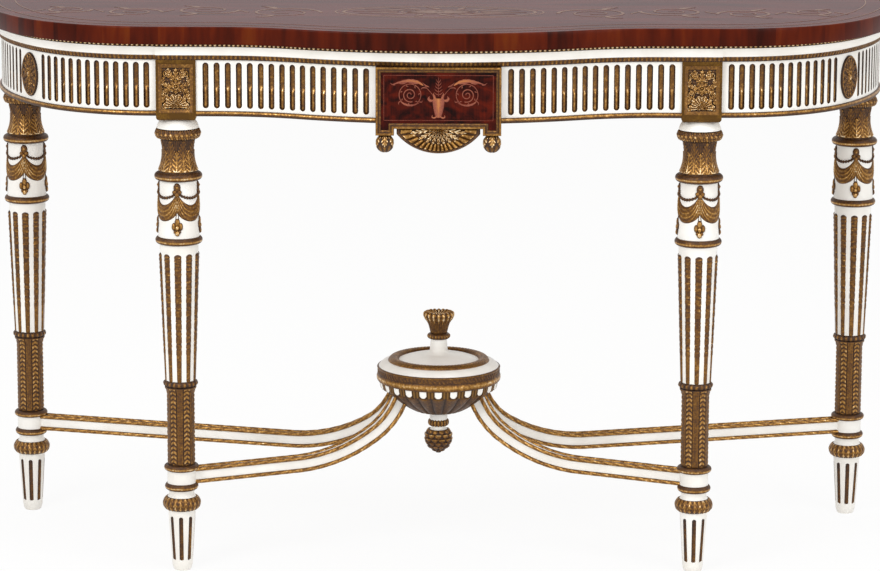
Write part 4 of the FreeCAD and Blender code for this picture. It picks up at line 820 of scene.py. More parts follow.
flute = {"width": 9.2, "depth": 5, "pitch": 17, "endGap": 15, "edgeGap": 4, "rim": 0.5, "hollow": 3.6, "reed": 3.1,
         "reedBase": 1.0, "reedShare": 0.72, "reedTop": 0.40, "reedRound": 0.05, "rows": 40, "columns": 11}
patera = {"station": 252, "gap": 40, "width": 50, "height": 69, "proud": 4, "petals": 16, "lift": 3.0, "sink": 2.2,
          "back": -1.9, "around": 160, "rows": 44}
fluteLow = levelsOf("lower_bead")[1] + flute["edgeGap"]
fluteHigh = levelsOf("leaf_moulding")[0] - flute["edgeGap"]


def fluteFront(u, t):
    # hollow in the upper half, and in the lower half a round reed with a domed top
    s = flute
    hollow = -s["rim"] - s["hollow"] * dome(u)
    rounded = dome(np.clip((t - s["reedTop"]) / s["reedRound"], 0, 1)) * smoothStep(0.0, s["reedRound"], t)
    reed = -s["depth"] + s["reedBase"] + s["reed"] * dome(u / s["reedShare"]) * rounded
    return np.maximum(hollow + 0 * t, reed)


def stationsOf(first, last):
    return np.linspace(first, last, 1 + max(1, round((last - first) / flute["pitch"])))


def makeFlutes():
    s = flute
    length, back = fluteHigh - fluteLow - 0.2, -s["depth"] + 0.05
    local = fluteFilling(s["width"], length, fluteFront, back, s["rows"], s["columns"])
    t, side = local[..., 1] / (fluteHigh - fluteLow), np.abs(local[..., 0]) / (s["width"] / 2)
    # painted light and shade: a highlight down the middle of the reed, the top of the hollow darker, a highlight on
    # the dome of the reed, and near-black painted shade along both edges of the flute
    wearAndLight = np.where(t < 0.46, 0.34 + 0.3 * bell(side, 0.22), 0.46 - 0.2 * smoothStep(0.85, 1, t))
    light = 0.2 * bell((t - 0.425) / 0.03, 1) * bell(local[..., 0], 1.6)  # on the dome of the reed
    wearAndLight = wearAndLight * (1 - 0.95 * smoothStep(0.52, 0.82, side)) + light
    middle = blockOut + patera["station"]
    spotsFront = stationsOf(tabletEdge + s["endGap"], blockIn - s["endGap"])
    spotsCorner = np.concatenate([stationsOf(blockOut + s["endGap"], middle - patera["gap"]),
                                  stationsOf(middle + patera["gap"], cornerEnd - s["endGap"])])
    for label, spots, outward in (("front", spotsFront, 0.0), ("corner", spotsCorner, plan["setback"])):
        frames = apronFrames(np.concatenate([-spots[::-1], spots]), outward, fluteLow + 0.1)
        gild(f"flutes_{label}", placeMany(local, wearAndLight, *frames), [f"{label}_flute_reeds"], 50)


def makePaterae():
    # oval rosette: two rings of petals round a domed boss, inside a raised rim
    s = patera
    angle, r = around(s["around"]), np.linspace(0, 1, s["rows"])[:, None]
    turn = angle * s["petals"] / (2 * pi)
    outer = leafHeight(((turn % 1.0) - 0.5) * 2.1, (r - 0.42) / 0.46, 3)
    inner = leafHeight(((turn / 2 + 0.5) % 1.0 - 0.5) * 2.1, (r - 0.2) / 0.4, 2)
    boss = 1.25 * dome(r / 0.2) * (0.8 + 0.2 * np.cos(angle * 8))
    rim = 0.8 * bell(r - 0.94, 0.045) + 0 * angle
    height = s["lift"] * np.maximum.reduce([0.75 * outer, inner, boss, rim])
    relief = 0.85 * wornBy(height) + 0.3 * bell(r, 0.16)
    height = np.concatenate([s["proud"] - s["sink"] + height, np.full((2, s["around"]), s["back"])])
    size = np.concatenate([r, [[1.0], [0.0]]])
    local = np.stack([size * s["width"] / 2 * np.sin(angle), size * s["height"] / 2 * np.cos(angle), height], -1)
    frames = apronFrames(np.array([-1, 1]) * (blockOut + s["station"]), plan["setback"], (fluteLow + fluteHigh) / 2)
    gild("oval_paterae", placeMany(local, np.concatenate([relief, relief[-2:] * 0]), *frames), ["paterae"])


makeLeafBand()
makePearls()
makeLowerBead()
makeFlutes()
makePaterae()
print("apron dressed")


# Leg blocks

plaque = {"width": 46, "height": 68, "base": 16.5, "floor": -3.6, "lift": 4.4, "back": -4.0, "fanFoot": 6,
          "fanRays": 11, "fanReach": 20, "flower": 37, "petals": 8}
# root across and up, lean in degrees, length and width of the leaves on one side of a plaque
plaqueLeaves = [((2, 48), 52, 20, 5.5), ((9, 38), 78, 14, 5), ((9, 34), 118, 15, 5), ((21, 12), -8, 16, 4),
                ((21, 40), -12, 14, 4), ((7, 55), 28, 13, 4), ((12, 20), 62, 12, 4), ((20, 2), -30, 12, 4)]
plaqueCurls = ((15, 57), (16, 27))
blockFrame = {"width": 5.5, "proud": 1.4, "lap": 1.5}
blockTurn = {"front_left": 0, "front_right": 0, "rear_left": -90, "rear_right": 90}


def stamp(x, z, place, angle, length, width, lobes):
    # a leaf laid on a plate from a root, turned from upright
    a = math.radians(angle)
    dx, dz = x - place[0], z - place[1]
    along = (dx * math.sin(a) + dz * math.cos(a)) / length
    return leafHeight((dx * math.cos(a) - dz * math.sin(a)) / width, along, lobes)


def plateOf(x, z, height, back):
    # height field on a rectangle, closed by walls to a flat back that ends in one middle point
    points = np.stack([x, z, height], -1)
    for edgeValue, parts in ((back, slice(2, 3)), ([x.mean(), z.mean(), back], slice(0, 3))):
        points = np.pad(points, ((1, 1), (1, 1), (0, 0)), mode="edge")
        edge = np.ones(points.shape[:2], bool)
        edge[1:-1, 1:-1] = False
        points[edge, parts] = edgeValue
    return points


def plaqueHeight(x, z):
    # a shell fan below, a flower in the middle, scrolling leaves above and at the corners, fine veins over all
    s = plaque
    fanR, fanA = np.hypot(x, z - s["fanFoot"]), np.arctan2(x, z - s["fanFoot"])
    rays = np.cos(fanA * s["fanRays"])
    edge = smoothStep(s["fanReach"], s["fanReach"] - 2, fanR + 1.5 * rays)
    fan = edge * (0.45 + 0.4 * rays ** 2 + 0.02 * fanR) * (z > 3)
    layers = [fan, 0.9 * bell(np.hypot(x, z - s["flower"]), 2.6), stamp(x, z, (0, 49), 0, 18, 5.5, 3),
              0.32 * np.abs(np.cos(0.75 * x) * np.cos(0.75 * z))]
    for index in range(s["petals"]):
        a = index * 2 * pi / s["petals"]
        root = (3 * math.sin(a), s["flower"] + 3 * math.cos(a))
        layers.append(0.9 * stamp(x, z, root, math.degrees(a), 9, 4, 2))
    for side in (-1, 1):
        layers += [stamp(x, z, (side * place[0], place[1]), side * lean, length, width, 3)
                   for place, lean, length, width in plaqueLeaves]
        for curl in plaqueCurls:
            curlR = np.hypot(x - side * curl[0], z - curl[1])
            layers += [0.9 * bell(curlR - 4.0, 1.2), 0.9 * bell(curlR, 1.4)]
    veins = np.cos(1.5 * x + 2 * np.sin(0.5 * z)) * np.cos(1.3 * z + 2 * np.sin(0.6 * x))
    return np.maximum.reduce(layers) * (0.82 + 0.18 * veins)


def makePlaques():
    # carved panel on each block, inside a moulded frame with mitred corners
    s, f = plaque, blockFrame
    x, z = np.meshgrid(np.linspace(-1, 1, 84) * s["width"] / 2, np.linspace(0, 1, 116) * s["height"])
    height = plaqueHeight(x, z)
    points = plateOf(x, z, s["floor"] + s["lift"] * height, s["back"])
    relief = np.pad(np.clip(0.12 + 0.95 * wornBy(height, False), 0, 1), 2, mode="constant")
    section = np.array([[0, -0.5], [0, f["proud"]], [-1.6, f["proud"] * 1.1], [-2.8, 0.9],
                        [-f["width"] * 0.75, 0.5], [-f["width"], -0.6]])
    inset = -section[None, :, 0] - f["width"] + f["lap"]
    corners = np.array([[-1, 0], [1, 0], [1, 1], [-1, 1]]) * [s["width"] / 2, s["height"]]
    inward = np.array([[1, 1], [-1, 1], [-1, -1], [1, -1]])
    framePoints = np.stack(np.broadcast_arrays(*[corners[:, i, None] + inward[:, i, None] * inset for i in (0, 1)],
                                               section[None, :, 1]), -1)
    panels, frames = [], []
    for tag in legTags:
        a = math.radians(blockTurn[tag])
        low, high = spanOf(f"leg_block_{tag}")
        out = np.array([math.sin(a), -math.cos(a), 0])
        axis = np.array([[math.cos(a), math.sin(a), 0], [0, 0, 1], out])
        origin = np.array([*legAxis[tag], low[2] + s["base"]]) + out * abs((high - low) @ out) / 2
        panels.append(sheetOf(points @ axis + origin, relief, closed=False))
        frames.append(sheetOf(framePoints @ axis + origin, 0.46, ring=True))
    gild("acanthus_plaques", panels, ["block_plaques"])
    gild("plaque_frames", frames, (), 30)


makePlaques()
print("blocks dressed")


# Tablet

tablet = {"frameWidth": 8, "stepHalf": 68, "string": 12.6, "stringHalf": 0.45}
panelLow, panelHigh = spanOf("tablet_panel")
shellLow, shellHigh = spanOf("tablet_shell")
tabletFace, tabletStep = panelLow[1], shellHigh[2]


def steppedCorners(inset):
    half, step = tabletHalf - inset, tablet["stepHalf"] + inset
    low, rise, high = panelLow[2] + inset, tabletStep + inset, panelHigh[2] - inset
    return np.array([(-half, low), (-step, low), (-step, rise), (step, rise), (step, low), (half, low),
                     (half, high), (-half, high)])


def makeTabletFrame():
    # moulded frame: a section of (inset, proud, wear) carried round the stepped outline with mitred corners
    w = tablet["frameWidth"]
    section = [(0, -0.5, 0.1), (0, 3.2, 0.42), (1.2, 4.0, 0.62), (3.2, 3.8, 0.45), (4.6, 2.2, 0.12),
               (6.4, 2.6, 0.45), (w, 1.4, 0.3), (w, -0.5, 0.05)]
    outlines = np.stack([steppedCorners(inset) for inset, _, _ in section], 1)
    depth = np.broadcast_to([tabletFace - proud for _, proud, _ in section], outlines.shape[:2])
    points = np.stack([outlines[..., 0], depth, outlines[..., 1]], -1)
    relief = np.array([wearAndLight for _, _, wearAndLight in section])[None, :]
    gild("tablet_frame_moulding", [sheetOf(points, relief, ring=True)], ["tablet_frame"], 30)


shell = {"leaves": 9, "rays": 34, "strip": 9, "depth": 16, "lift": 5.0, "sink": 5.5, "columns": 281, "rows": 48}


def makeShell():
    # palmette: leaves spread from a bud in the middle of the step, with short rays behind their tips and a rim
    s = shell
    half, swell = shellHigh[0], tabletStep - shellLow[2] - s["strip"]
    radius = (half ** 2 + swell ** 2) / (2 * swell)
    ray, t = np.linspace(-0.5, 0.5, s["columns"])[None, :] * pi, np.linspace(0, 1, s["rows"])[:, None]
    # distance along a ray to the arc, whose centre lies above the step, or to the upright end of the strip
    rise = radius - swell - s["strip"]
    arc = -rise * np.cos(ray) + np.sqrt(radius ** 2 - (rise * np.sin(ray)) ** 2)
    reach = np.minimum(arc, half / np.maximum(np.abs(np.sin(ray)), 1e-6))
    leaves = leafHeight(0.95 * repeat(ray / pi * s["leaves"]), (t - 0.1) / 0.6, 4)
    rays = 0.75 * smoothStep(0.58, 0.66, t) * smoothStep(0.94, 0.89, t) * ribs(ray * s["rays"] / 2, 0.7)
    bud = 1.1 * dome(t / 0.2) * (0.75 + 0.25 * np.cos(ray * 9))
    rim = 0.5 * smoothStep(0.92, 0.95, t) * smoothStep(1.01, 0.985, t) + 0 * ray
    height = np.maximum.reduce([leaves, rays, bud, rim])
    # painted light lifts the middle of the fan, around the bud, against the shadow of the frame above
    carvedWithLight = np.clip(0.1 + 0.95 * wornBy(height, False) + 0.16 * bell(t - 0.35, 0.3), 0, 1)
    relief = np.where(t > 0.94, 0.3, carvedWithLight)
    front = np.stack([t * reach * np.sin(ray), tabletFace + s["sink"] - s["lift"] * height,
                      tabletStep - t * reach * np.cos(ray)], -1)
    back = front.copy()
    back[..., 1] = tabletFace + s["depth"]
    points = np.concatenate([front, back[::-1], front[:1]])
    relief = np.concatenate([relief, relief[::-1] * 0.2, relief[:1]])
    gild("shell_apron", [sheetOf(points, relief, closed=False)], ["tablet_shell"], 60)


bud = {"leaves": 6, "gadroons": 5, "lift": 1.8, "core": 1.6, "rows": 40, "around": 96}


def makeDrops():
    # carved ball: leaves close round it from above, gadroons swell below
    s = bud
    low, high = spanOf("tablet_drops")
    radius = (high[1] - low[1]) / 2
    middle = low[2] + radius

    def carve(angle, r, height):
        t = (height - low[2]) / (high[2] - low[2])
        calyx = leafHeight(1.05 * repeat(angle * s["leaves"] / (2 * pi)), (1 - t) / 0.62, 3)
        below = 0.6 * ribs(angle * s["gadroons"]) * smoothStep(0.55, 0.3, t)
        return s["lift"] * np.maximum(calyx, below) * smoothStep(0, 3, r) * smoothStep(1.0, 0.97, t)

    core = radius - s["core"]
    lean = np.linspace(-pi / 2, math.asin((high[2] - middle) / radius), s["rows"])
    corners = [(core * math.cos(a), middle + core * math.sin(a)) for a in lean]
    corners[0] = (0, corners[0][1])
    top = high[2] + 0.2
    points, lift = turning(corners + [(corners[-1][0], top), (0, top)], s["around"], step=40, carve=carve)
    sheets = [sheetOf(points + np.array([x, (low[1] + high[1]) / 2, 0]), wornBy(lift))
              for x in (low[0] + radius, high[0] - radius)]
    gild("bud_drops", sheets, ["tablet_drops"])


def ribbon(path, half, lay, wearAndLight, thickness):
    # inlay: a flat band of the given half widths along a path; lay maps (x, y, height) to the table
    slope = np.gradient(path, axis=0)
    slope /= np.linalg.norm(slope, axis=1)[:, None] + 1e-9
    side = np.stack([-slope[:, 1], slope[:, 0]], -1) * np.broadcast_to(half, len(path))[:, None]
    u = np.array([-1, -0.5, 0, 0.5, 1])
    flat = path[:, None, :] + u[None, :, None] * side[:, None, :]
    top, under = (np.concatenate([grid, np.full((*flat.shape[:2], 1), level)], -1)
                  for grid, level in ((flat, thickness), (flat[:, ::-1], -0.2)))
    shade = np.linspace(wearAndLight[0], wearAndLight[1], len(path))[:, None] - 0.22 * np.abs(u)[None, :]
    return tube(lay(np.concatenate([top, under], 1)), np.concatenate([shade, shade[:, ::-1]], 1))


def spiral(centre, radius, turns, start, hand, count=90):
    # Archimedean curl: the radius shrinks evenly from outside to the eye
    t = np.linspace(0, 1, count)
    angle = math.radians(start) + hand * t * turns * 2 * pi
    r = radius * (1 - 0.86 * t)
    return np.stack([centre[0] + r * np.cos(angle), centre[1] + r * np.sin(angle)], -1)


def oval(centre, halfX, halfY, count):
    angle = np.linspace(0, 2 * pi, count)
    return np.stack([centre[0] + halfX * np.cos(angle), centre[1] + halfY * np.sin(angle)], -1)


def curve(points, count=40):
    # smooth line drawn by a few points: Bezier curve of their number
    points = np.array(points, float)
    t = np.linspace(0, 1, count)[:, None]
    n = len(points) - 1
    return sum(math.comb(n, i) * t ** i * (1 - t) ** (n - i) * points[i] for i in range(n + 1))


def leafWidth(count, width, lobes):
    # lens with a wavy edge
    t = np.linspace(0, 1, count)
    return 0.05 + width * np.sin(pi * t ** 0.75) ** 0.8 * (0.78 + 0.22 * np.abs(np.sin(lobes * pi * t)))


def inlayOn(sheets, place, thickness, growth):
    # functions that lay bands and leaves, each a little above the one before, so that crossings stay clean
    def lay(path, half, wearAndLight):
        sheets.append(ribbon(path, half, place, wearAndLight, thickness + growth * len(sheets)))

    def layLeaf(points, width, lobes, wearAndLight, count=40, hand=(1, 1)):
        lay(curve(points, count) * np.array(hand), leafWidth(count, width, lobes), wearAndLight)

    return lay, layLeaf


# path, half width, lobes of its edge and wear at both ends, for the leaves on one side of the tablet
tabletLeaves = [
    ([(4, 44), (7, 49), (8, 55)], 1.9, 1, (0.6, 0.5)),
    ([(8, 44), (13, 41), (18, 46), (13, 50)], 2.4, 2, (0.55, 0.45)),
    ([(2, 20), (6, 14), (12, 17), (9, 21)], 1.2, 2, (0.6, 0.5)),
    ([(23, 66), (36, 78.5), (55, 73.5), (72, 67)], 2.6, 7, (0.66, 0.46)),
    ([(30, 69.5), (40, 69.5), (47, 71.5)], 1.2, 3, (0.5, 0.36)),
    ([(48, 71.5), (56, 67.5), (62, 70.5)], 1.1, 3, (0.5, 0.36)),
    ([(66, 67.5), (70, 66.5), (74, 70.5)], 0.9, 1, (0.5, 0.4)),
    ([(58, 42), (49, 34), (38, 34), (28, 41)], 1.8, 6, (0.5, 0.36)),
    ([(14, 64), (20, 66), (25, 71)], 1.0, 2, (0.5, 0.4)), ([(18, 62), (25, 65), (27, 60)], 0.8, 1, (0.42, 0.36)),
    ([(57, 43), (63, 40), (60, 36)], 0.8, 1, (0.42, 0.36)), ([(30, 42), (24, 39), (25, 44)], 0.8, 1, (0.42, 0.36))]
tabletVase = {"levels": (46.5, 44, 40, 34, 28, 22, 17), "halves": (8.2, 9.2, 9.0, 8.2, 7.0, 5.4, 4.0)}
tabletScroll = {"centre": (43.5, 52), "ring": 16.6, "curl": 11.2, "turns": 1.8, "start": 250, "budRing": 14.0,
                "buds": 7}


def makeTabletInlay():
    # vase with a sprig, stems to both sides, scrolls with leaves above and below, and a string line round all
    def onFace(p):
        return np.stack([p[..., 0], tabletFace - p[..., 2], p[..., 1] + tabletStep], -1)

    sheets = []
    lay, layLeaf = inlayOn(sheets, onFace, thickness=0.14, growth=0.012)
    low, edge = tablet["string"], tabletHalf - tablet["string"]
    high = panelHigh[2] - tabletStep - low
    corners = [(-edge, low), (edge, low), (edge, high), (-edge, high)]
    for a, b in zip(corners, corners[1:] + corners[:1]):
        lay(np.array(a) + np.linspace(0, 1, 12)[:, None] * np.subtract(b, a), tablet["stringHalf"], (0.32, 0.32))
    lay(np.array([(0, level) for level in tabletVase["levels"]], float), tabletVase["halves"], (0.62, 0.5))
    layLeaf([(0, 46), (0, 38), (0, 26)], 3.0, 4, (0.8, 0.7))
    lay(curve([(0, 50), (0, 64), (0, 79)]), 0.35, (0.4, 0.4))
    for index in range(5):
        z, near, far = 52 + 4.8 * index, 4.4 - 0.5 * index, 7.4 - 1.0 * index
        for side in (-1, 1):
            layLeaf([(0, z), (side * near, z + 1), (side * far, z + 5)], 0.55, 1, (0.42, 0.36), count=16)
    s = tabletScroll
    centre = np.array(s["centre"])
    for side in (-1, 1):
        hand = np.array([side, 1])
        lay(curve([(7, 49), (12, 57), (17, 61), (21, 66)]) * hand, 0.5, (0.42, 0.36))
        lay(oval(centre, s["ring"], s["ring"], 73) * hand, 0.65, (0.42, 0.42))
        lay(spiral(centre, s["curl"], s["turns"], s["start"], 1) * hand, np.linspace(0.8, 0.65, 90), (0.46, 0.4))
        for points, width, lobes, wearAndLight in tabletLeaves:
            layLeaf(points, width, lobes, wearAndLight, hand=hand)
        for turn in np.linspace(0.3, 5.7, s["buds"]):
            away, tip = ([math.cos(a), math.sin(a)] for a in (turn, turn + 2.2))
            root = centre + s["budRing"] * np.array(away)
            stem = [root + 1.5 * np.array(away), root, root + 2.8 * np.array(tip)]
            layLeaf(stem, 0.8, 1, (0.5, 0.4), count=12, hand=hand)
    makePiece("tablet_inlay", sheets, satinwood, (), 40)


makeTabletFrame()
makeShell()
makeDrops()
makeTabletInlay()
print("tablet dressed")


# Stretchers and urn

rise = {"start": 250, "middle": 115, "end": 75, "middleAngle": 32, "endAngle": 62, "aside": 8, "above": 10,
        "bead": 3.5, "block": 22.5, "tenon": 3, "pitch": 20, "strands": 3, "intoBowl": 30,
        "centre": 10.25, "step": 1.6}
bowlLow, bowlHigh = spanOf("urn_bowl")
urnAxis = (bowlLow + bowlHigh) / 2
stretcherLevel = levelsOf("leg_ankles")[1] - rise["centre"]


def stretcherLine(tag, aside, above):
    # level run, wide arc and tighter arc in the upright plane from leg to urn, then straight into the bowl
    s = rise
    foot = legAxis[tag]
    way = urnAxis[:2] - foot
    reach = np.hypot(*way)
    way = way / reach
    side, start = np.array([-way[1], way[0]]), s["block"] - s["tenon"]
    middle, end = math.radians(s["middleAngle"]), math.radians(s["endAngle"])
    wide = (s["start"] - s["middle"]) / math.sin(middle) - above
    tight = (s["middle"] - s["end"]) / (math.sin(end) - math.sin(middle)) - above
    lengths = [reach - s["start"] - start, wide * middle, tight * (end - middle), s["intoBowl"]]
    _, distance, slope, run, up = walk(lengths, [0, 0, middle, end, end], int(sum(lengths) / s["step"]))
    flat = foot + (start + run)[:, None] * way + aside * side
    normal = np.stack([-np.sin(slope) * way[0], -np.sin(slope) * way[1], np.cos(slope)], -1)
    across = np.tile([*side, 0], (len(run), 1))
    return np.concatenate([flat, stretcherLevel + above + up[:, None]], 1), across, normal, distance


def makeRopes():
    # rope beads: a round section with strands that wind along the stretcher's edges
    s = rise
    angle = around(12)
    for tag in legTags:
        sheets = []
        for aside, above in ((-1, -1), (-1, 1), (1, -1), (1, 1)):
            line, across, normal, distance = stretcherLine(tag, aside * s["aside"], above * s["above"])
            strand = ribs((angle * s["strands"] - 2 * pi * aside * distance[:, None] / s["pitch"]) / 2)
            radius = s["bead"] * (0.76 + 0.18 * strand ** 0.6)
            ring = np.cos(angle)[..., None] * across[:, None] + np.sin(angle)[..., None] * normal[:, None]
            sheets.append(tube(line[:, None] + radius[..., None] * ring, 0.36 + 0.3 * strand ** 0.7))
        gild(f"rope_beads_{tag}", sheets, ["stretcher_beads"], 80)


urn = {"neck": 14.5, "neckHeight": 10, "course": 55, "courseHeight": 11.5, "courseLow": 96, "courseTop": 98.5,
       "sink": 2.5, "band": 100.5, "bandHeight": 24, "rim": 83, "rimHeight": 8.5, "lobes": 24, "lobeLift": 2.6,
       "swell": 6.0, "bandLift": 2.2, "tongue": 1.3, "reed": 0.9, "around": 480}
urnNeckTop = bowlLow[2] + urn["neckHeight"]
urnCourse = bowlLow[2] + urn["course"]
urnBand = urnCourse + urn["courseHeight"]
urnBandTop = urnBand + urn["bandHeight"]


def atUrn(points, relief=0.6):
    return sheetOf(points + np.array([urnAxis[0], urnAxis[1], 0]), relief)


def makeUrnBowl():
    # gadroons: round lobes that widen from the neck to the course above
    s = urn

    def gadroon(angle, r, height):
        t = (height - urnNeckTop) / (urnCourse - urnNeckTop)
        onBowl = smoothStep(0.03, 0.2, t) * smoothStep(1.0, 0.97, t) * smoothStep(14, 24, r)
        return s["lobeLift"] * ribs(angle * s["lobes"] / 2, 0.6) * onBowl

    neck, _ = turning(discOf(bowlLow[2], urnNeckTop, s["neck"], s["neck"]), count=64, step=3.0)
    paint("urn_neck", [atUrn(neck)])
    bowl = discOf(urnNeckTop, urnCourse, s["neck"], s["courseLow"] - 8, s["swell"])
    points, lift = turning(bowl, count=384, step=3.0, carve=gadroon)
    gild("urn_gadroons", [atUrn(points, 0.46 * wornBy(lift))], ["urn_bowl"])


def makeUrnBand():
    # a carved roll below, a row of small leaves over it and a fillet along the upper edge
    s = urn

    def carve(angle, r, height):
        t = (height - urnBand) / s["bandHeight"]
        row = 0.5 * ribs(2 * angle * s["lobes"] + 9 * t) * smoothStep(0.52, 0.58, t) * smoothStep(0.86, 0.8, t)
        roll = 1.1 * dome((t - 0.26) / 0.24) * (0.9 + 0.1 * np.cos(angle * 60 + 12 * t))
        fillet = 0.8 * bell(t - 0.92, 0.07)
        return s["bandLift"] * np.maximum.reduce([row, roll, fillet + 0 * row]) * (r > 80) * within(t, 0, 1, 0.02)

    core = s["band"] - 2
    points, lift = turning(discOf(urnBand, urnBandTop, core, core), s["around"], step=0.9, carve=carve)
    # painted highlight along the roll, a little above its middle
    gild("urn_leaf_band", [atUrn(points, 0.22 + 0.14 * lift + 0.2 * bell(points[..., 2] - urnBand - 7, 2.2))])


def makeUrnTongues():
    # white tongues with round lower ends, and two reeds between neighbours; the plain rim of the urn
    s = urn

    def between(angle):
        return np.abs(repeat(angle * s["lobes"] / (2 * pi)))

    def edge(angle, height):
        return np.hypot(between(angle) / 0.46, np.clip(0.5 - (height - urnCourse) / s["courseHeight"], 0, 1) * 1.8)

    def reeds(angle):
        return bell(between(angle) - 0.78, 0.12)

    def carve(angle, r, height):
        return (s["tongue"] * smoothStep(1.05, 0.8, edge(angle, height)) + s["reed"] * reeds(angle)) * (r > 60)

    course = discOf(urnCourse, urnBand, s["courseLow"] - s["sink"], s["courseTop"] - s["sink"])
    points, _ = turning(course, s["around"], step=0.8, carve=carve)
    angle = around(s["around"])
    shade = np.where(edge(angle, points[..., 2]) < 0.98, 1.0, 0.12 + 0.34 * reeds(angle))
    makePiece("urn_tongues", [atUrn(points, shade)], tonguePaint, (), 70)
    rimTop = urnBandTop + s["rimHeight"]
    points, _ = turning(discOf(urnBandTop, rimTop, s["band"] - 3, s["rim"], 1.5), count=128, step=2.0)
    paint("urn_rim", [atUrn(points)])


lid = {"radius": 65.8, "ring": 5.8, "hatch": 40, "hatchLift": 0.4, "foot": 24, "footRise": 10.5,
       "stem": 13, "stemRise": 17}


def makeUrnLid():
    # a half round ring with crossing ribs, and inside it a low dome that sweeps up into the stem
    s = lid
    seat, top, edge = bowlHigh[2], levelsOf("urn_lid")[1], urn["rim"] - 1

    def hatch(angle, r, height):
        cross = [ribs(angle * s["hatch"] + hand * height * 0.9) for hand in (1, -1)]
        return s["hatchLift"] * np.maximum(*cross) ** 4 * (r > s["radius"] + 1)

    points, lift = turning([(0, seat - 1), (edge, seat - 1), (edge, seat, s["ring"]), (s["radius"] - 1, seat + 1),
                            (0, seat + 1)], count=320, step=0.9, carve=hatch)
    gild("urn_lid_ring", [atUrn(points, 0.36 + 0.2 * wornBy(lift))])
    points, _ = turning([(0, seat), (s["radius"] - 0.5, seat + 1, 1.5), (s["foot"], seat + s["footRise"], -1.5),
                         (s["stem"] + 1.5, seat + s["stemRise"]), (s["stem"], top), (0, top)], count=96, step=2.0)
    paint("urn_lid_dome", [atUrn(points)], ["urn_lid"])


finial = {"ring": 19, "ringHeight": 8.5, "eggs": 11, "waist": 12.8, "lip": 24.5, "lipHeight": 7, "feathers": 18,
          "featherLift": 1.5, "eggLift": 1.3, "around": 196, "step": 0.8}


def makeFinial():
    s = finial
    base, top = levelsOf("urn_lid")[1], levelsOf("urn_finial")[1]
    cup, lip, edge = base + s["ringHeight"], top - s["lipHeight"], s["ring"] - 3.5

    def feathers(angle, r, height):
        # upright leaves with fine ribs round the cup, their tips curled over the lip, and eggs round the ring below
        t = (height - cup) / (lip - cup)
        fine = 0.5 * ribs(angle * s["feathers"]) * smoothStep(0.02, 0.1, t) * smoothStep(1.1, 0.9, t)
        tips = (1.4 * ribs(angle * s["feathers"] / 2, 1.5) + 0.4 * np.abs(np.sin(13 * t))) * smoothStep(0.5, 1.0, t)
        ring = ribs(angle * s["eggs"]) * bell(height - base - s["ringHeight"] / 2, 3)
        return s["featherLift"] * (fine + tips) * (r > 9) * (t > 0) + s["eggLift"] * ring * (r > 12) * (t <= 0)

    points, lift = turning([
        (0, base), (edge, base, 2.2), (edge, cup), (s["waist"], cup + 0.2, -1.2), (s["lip"] - 2, lip, 1.5),
        (s["lip"] - 4, top - 2.5, 1.0), (s["lip"] - 8, top - 4), (0, lip - 4)], s["around"], s["step"], feathers)
    gild("urn_plume", [atUrn(points, 0.22 + 0.7 * wornBy(lift))], ["urn_finial"])


pineCone = {"radius": 23, "height": 40, "widest": 31, "neck": 12, "neckHeight": 7, "ring": 17.5, "ringHeight": 9,
            "beads": 9, "beadLift": 1.6, "scales": 11, "rows": 6, "scaleLift": 2.6}


def makePineCone():
    s = pineCone
    low = levelsOf("urn_drop")[0]
    coneTop = low + s["height"]
    neckTop = coneTop + s["neckHeight"]
    ringTop, neckEnd = neckTop + s["ringHeight"], bowlLow[2] + 0.5

    def scales(angle, r, height):
        # overlapping scales in staggered rows
        t = (height - low) / s["height"] * s["rows"]
        row = np.floor(t)
        u = repeat(angle * s["scales"] / (2 * pi) + 0.5 * (row % 2))
        shape = dome(np.hypot(u, 1 - (t - row)))
        return s["scaleLift"] * shape * smoothStep(1, 6, r) * smoothStep(coneTop, coneTop - 2, height)

    def beads(angle, r, height):
        return s["beadLift"] * ribs(angle * s["beads"], 0.7) * smoothStep(10, 14, r) + 0 * height

    points, lift = turning([
        (0, low), (3.5, low + 0.5), (4.0, low + 4, 6.0), (s["radius"] - 2.4, low + s["widest"], 2.0),
        (s["neck"], coneTop), (0, coneTop)], count=176, step=0.8, carve=scales)
    shade = 0.6 + 0.4 * smoothStep(low + 10, low + 32, points[..., 2])  # darker towards the tip
    edge = s["ring"] - 4
    ring, ringLift = turning(discOf(neckTop, ringTop, edge, edge, 2.4), count=108, step=1.0, carve=beads)
    cone = atUrn(points, (0.06 + 0.75 * wornBy(lift)) * shade)
    gild("urn_cone", [cone, atUrn(ring, 0.75 * wornBy(ringLift))], ["urn_drop"])
    lower, _ = turning(discOf(coneTop, neckTop, s["neck"] + 2, s["neck"], -1.5), count=64, step=2)
    upper, _ = turning(discOf(ringTop, neckEnd, s["neck"] - 2, s["neck"] + 2), count=64, step=2)
    paint("urn_cone_neck", [atUrn(lower), atUrn(upper)])


makeRopes()
makeUrnBowl()
makeUrnBand()
makeUrnTongues()
makeUrnLid()
makeFinial()
makePineCone()
print("stretchers and urn dressed")


# Top

topEdge = {"band": 5.0, "arris": 2.4, "chamfer": 0.8}
topLevel = levelsOf("top_veneer")[1]


def makeTopEdge():
    # edge band: an upright face with a rounded upper arris, carried along the outline of the top
    s = topEdge
    low, high = levelsOf("top_edge_band")
    out = plan["overhang"]
    turn = np.linspace(0, pi / 2, 6)
    arris = np.stack([out - s["arris"] * (1 - np.cos(turn)), high - s["arris"] * (1 - np.sin(turn))], -1)
    section = np.concatenate([[[out - s["chamfer"], low], [out, low + s["chamfer"]]], arris,
                              [[out - s["band"], high], [out - s["band"], low]]])
    points, run = alongApron(-topEnd, topEnd, 0.0, section, 5.0)
    makePiece("crossbanded_edge", [tube(points, 0.6, run)], crossband, ["top_edge_band"], 50)


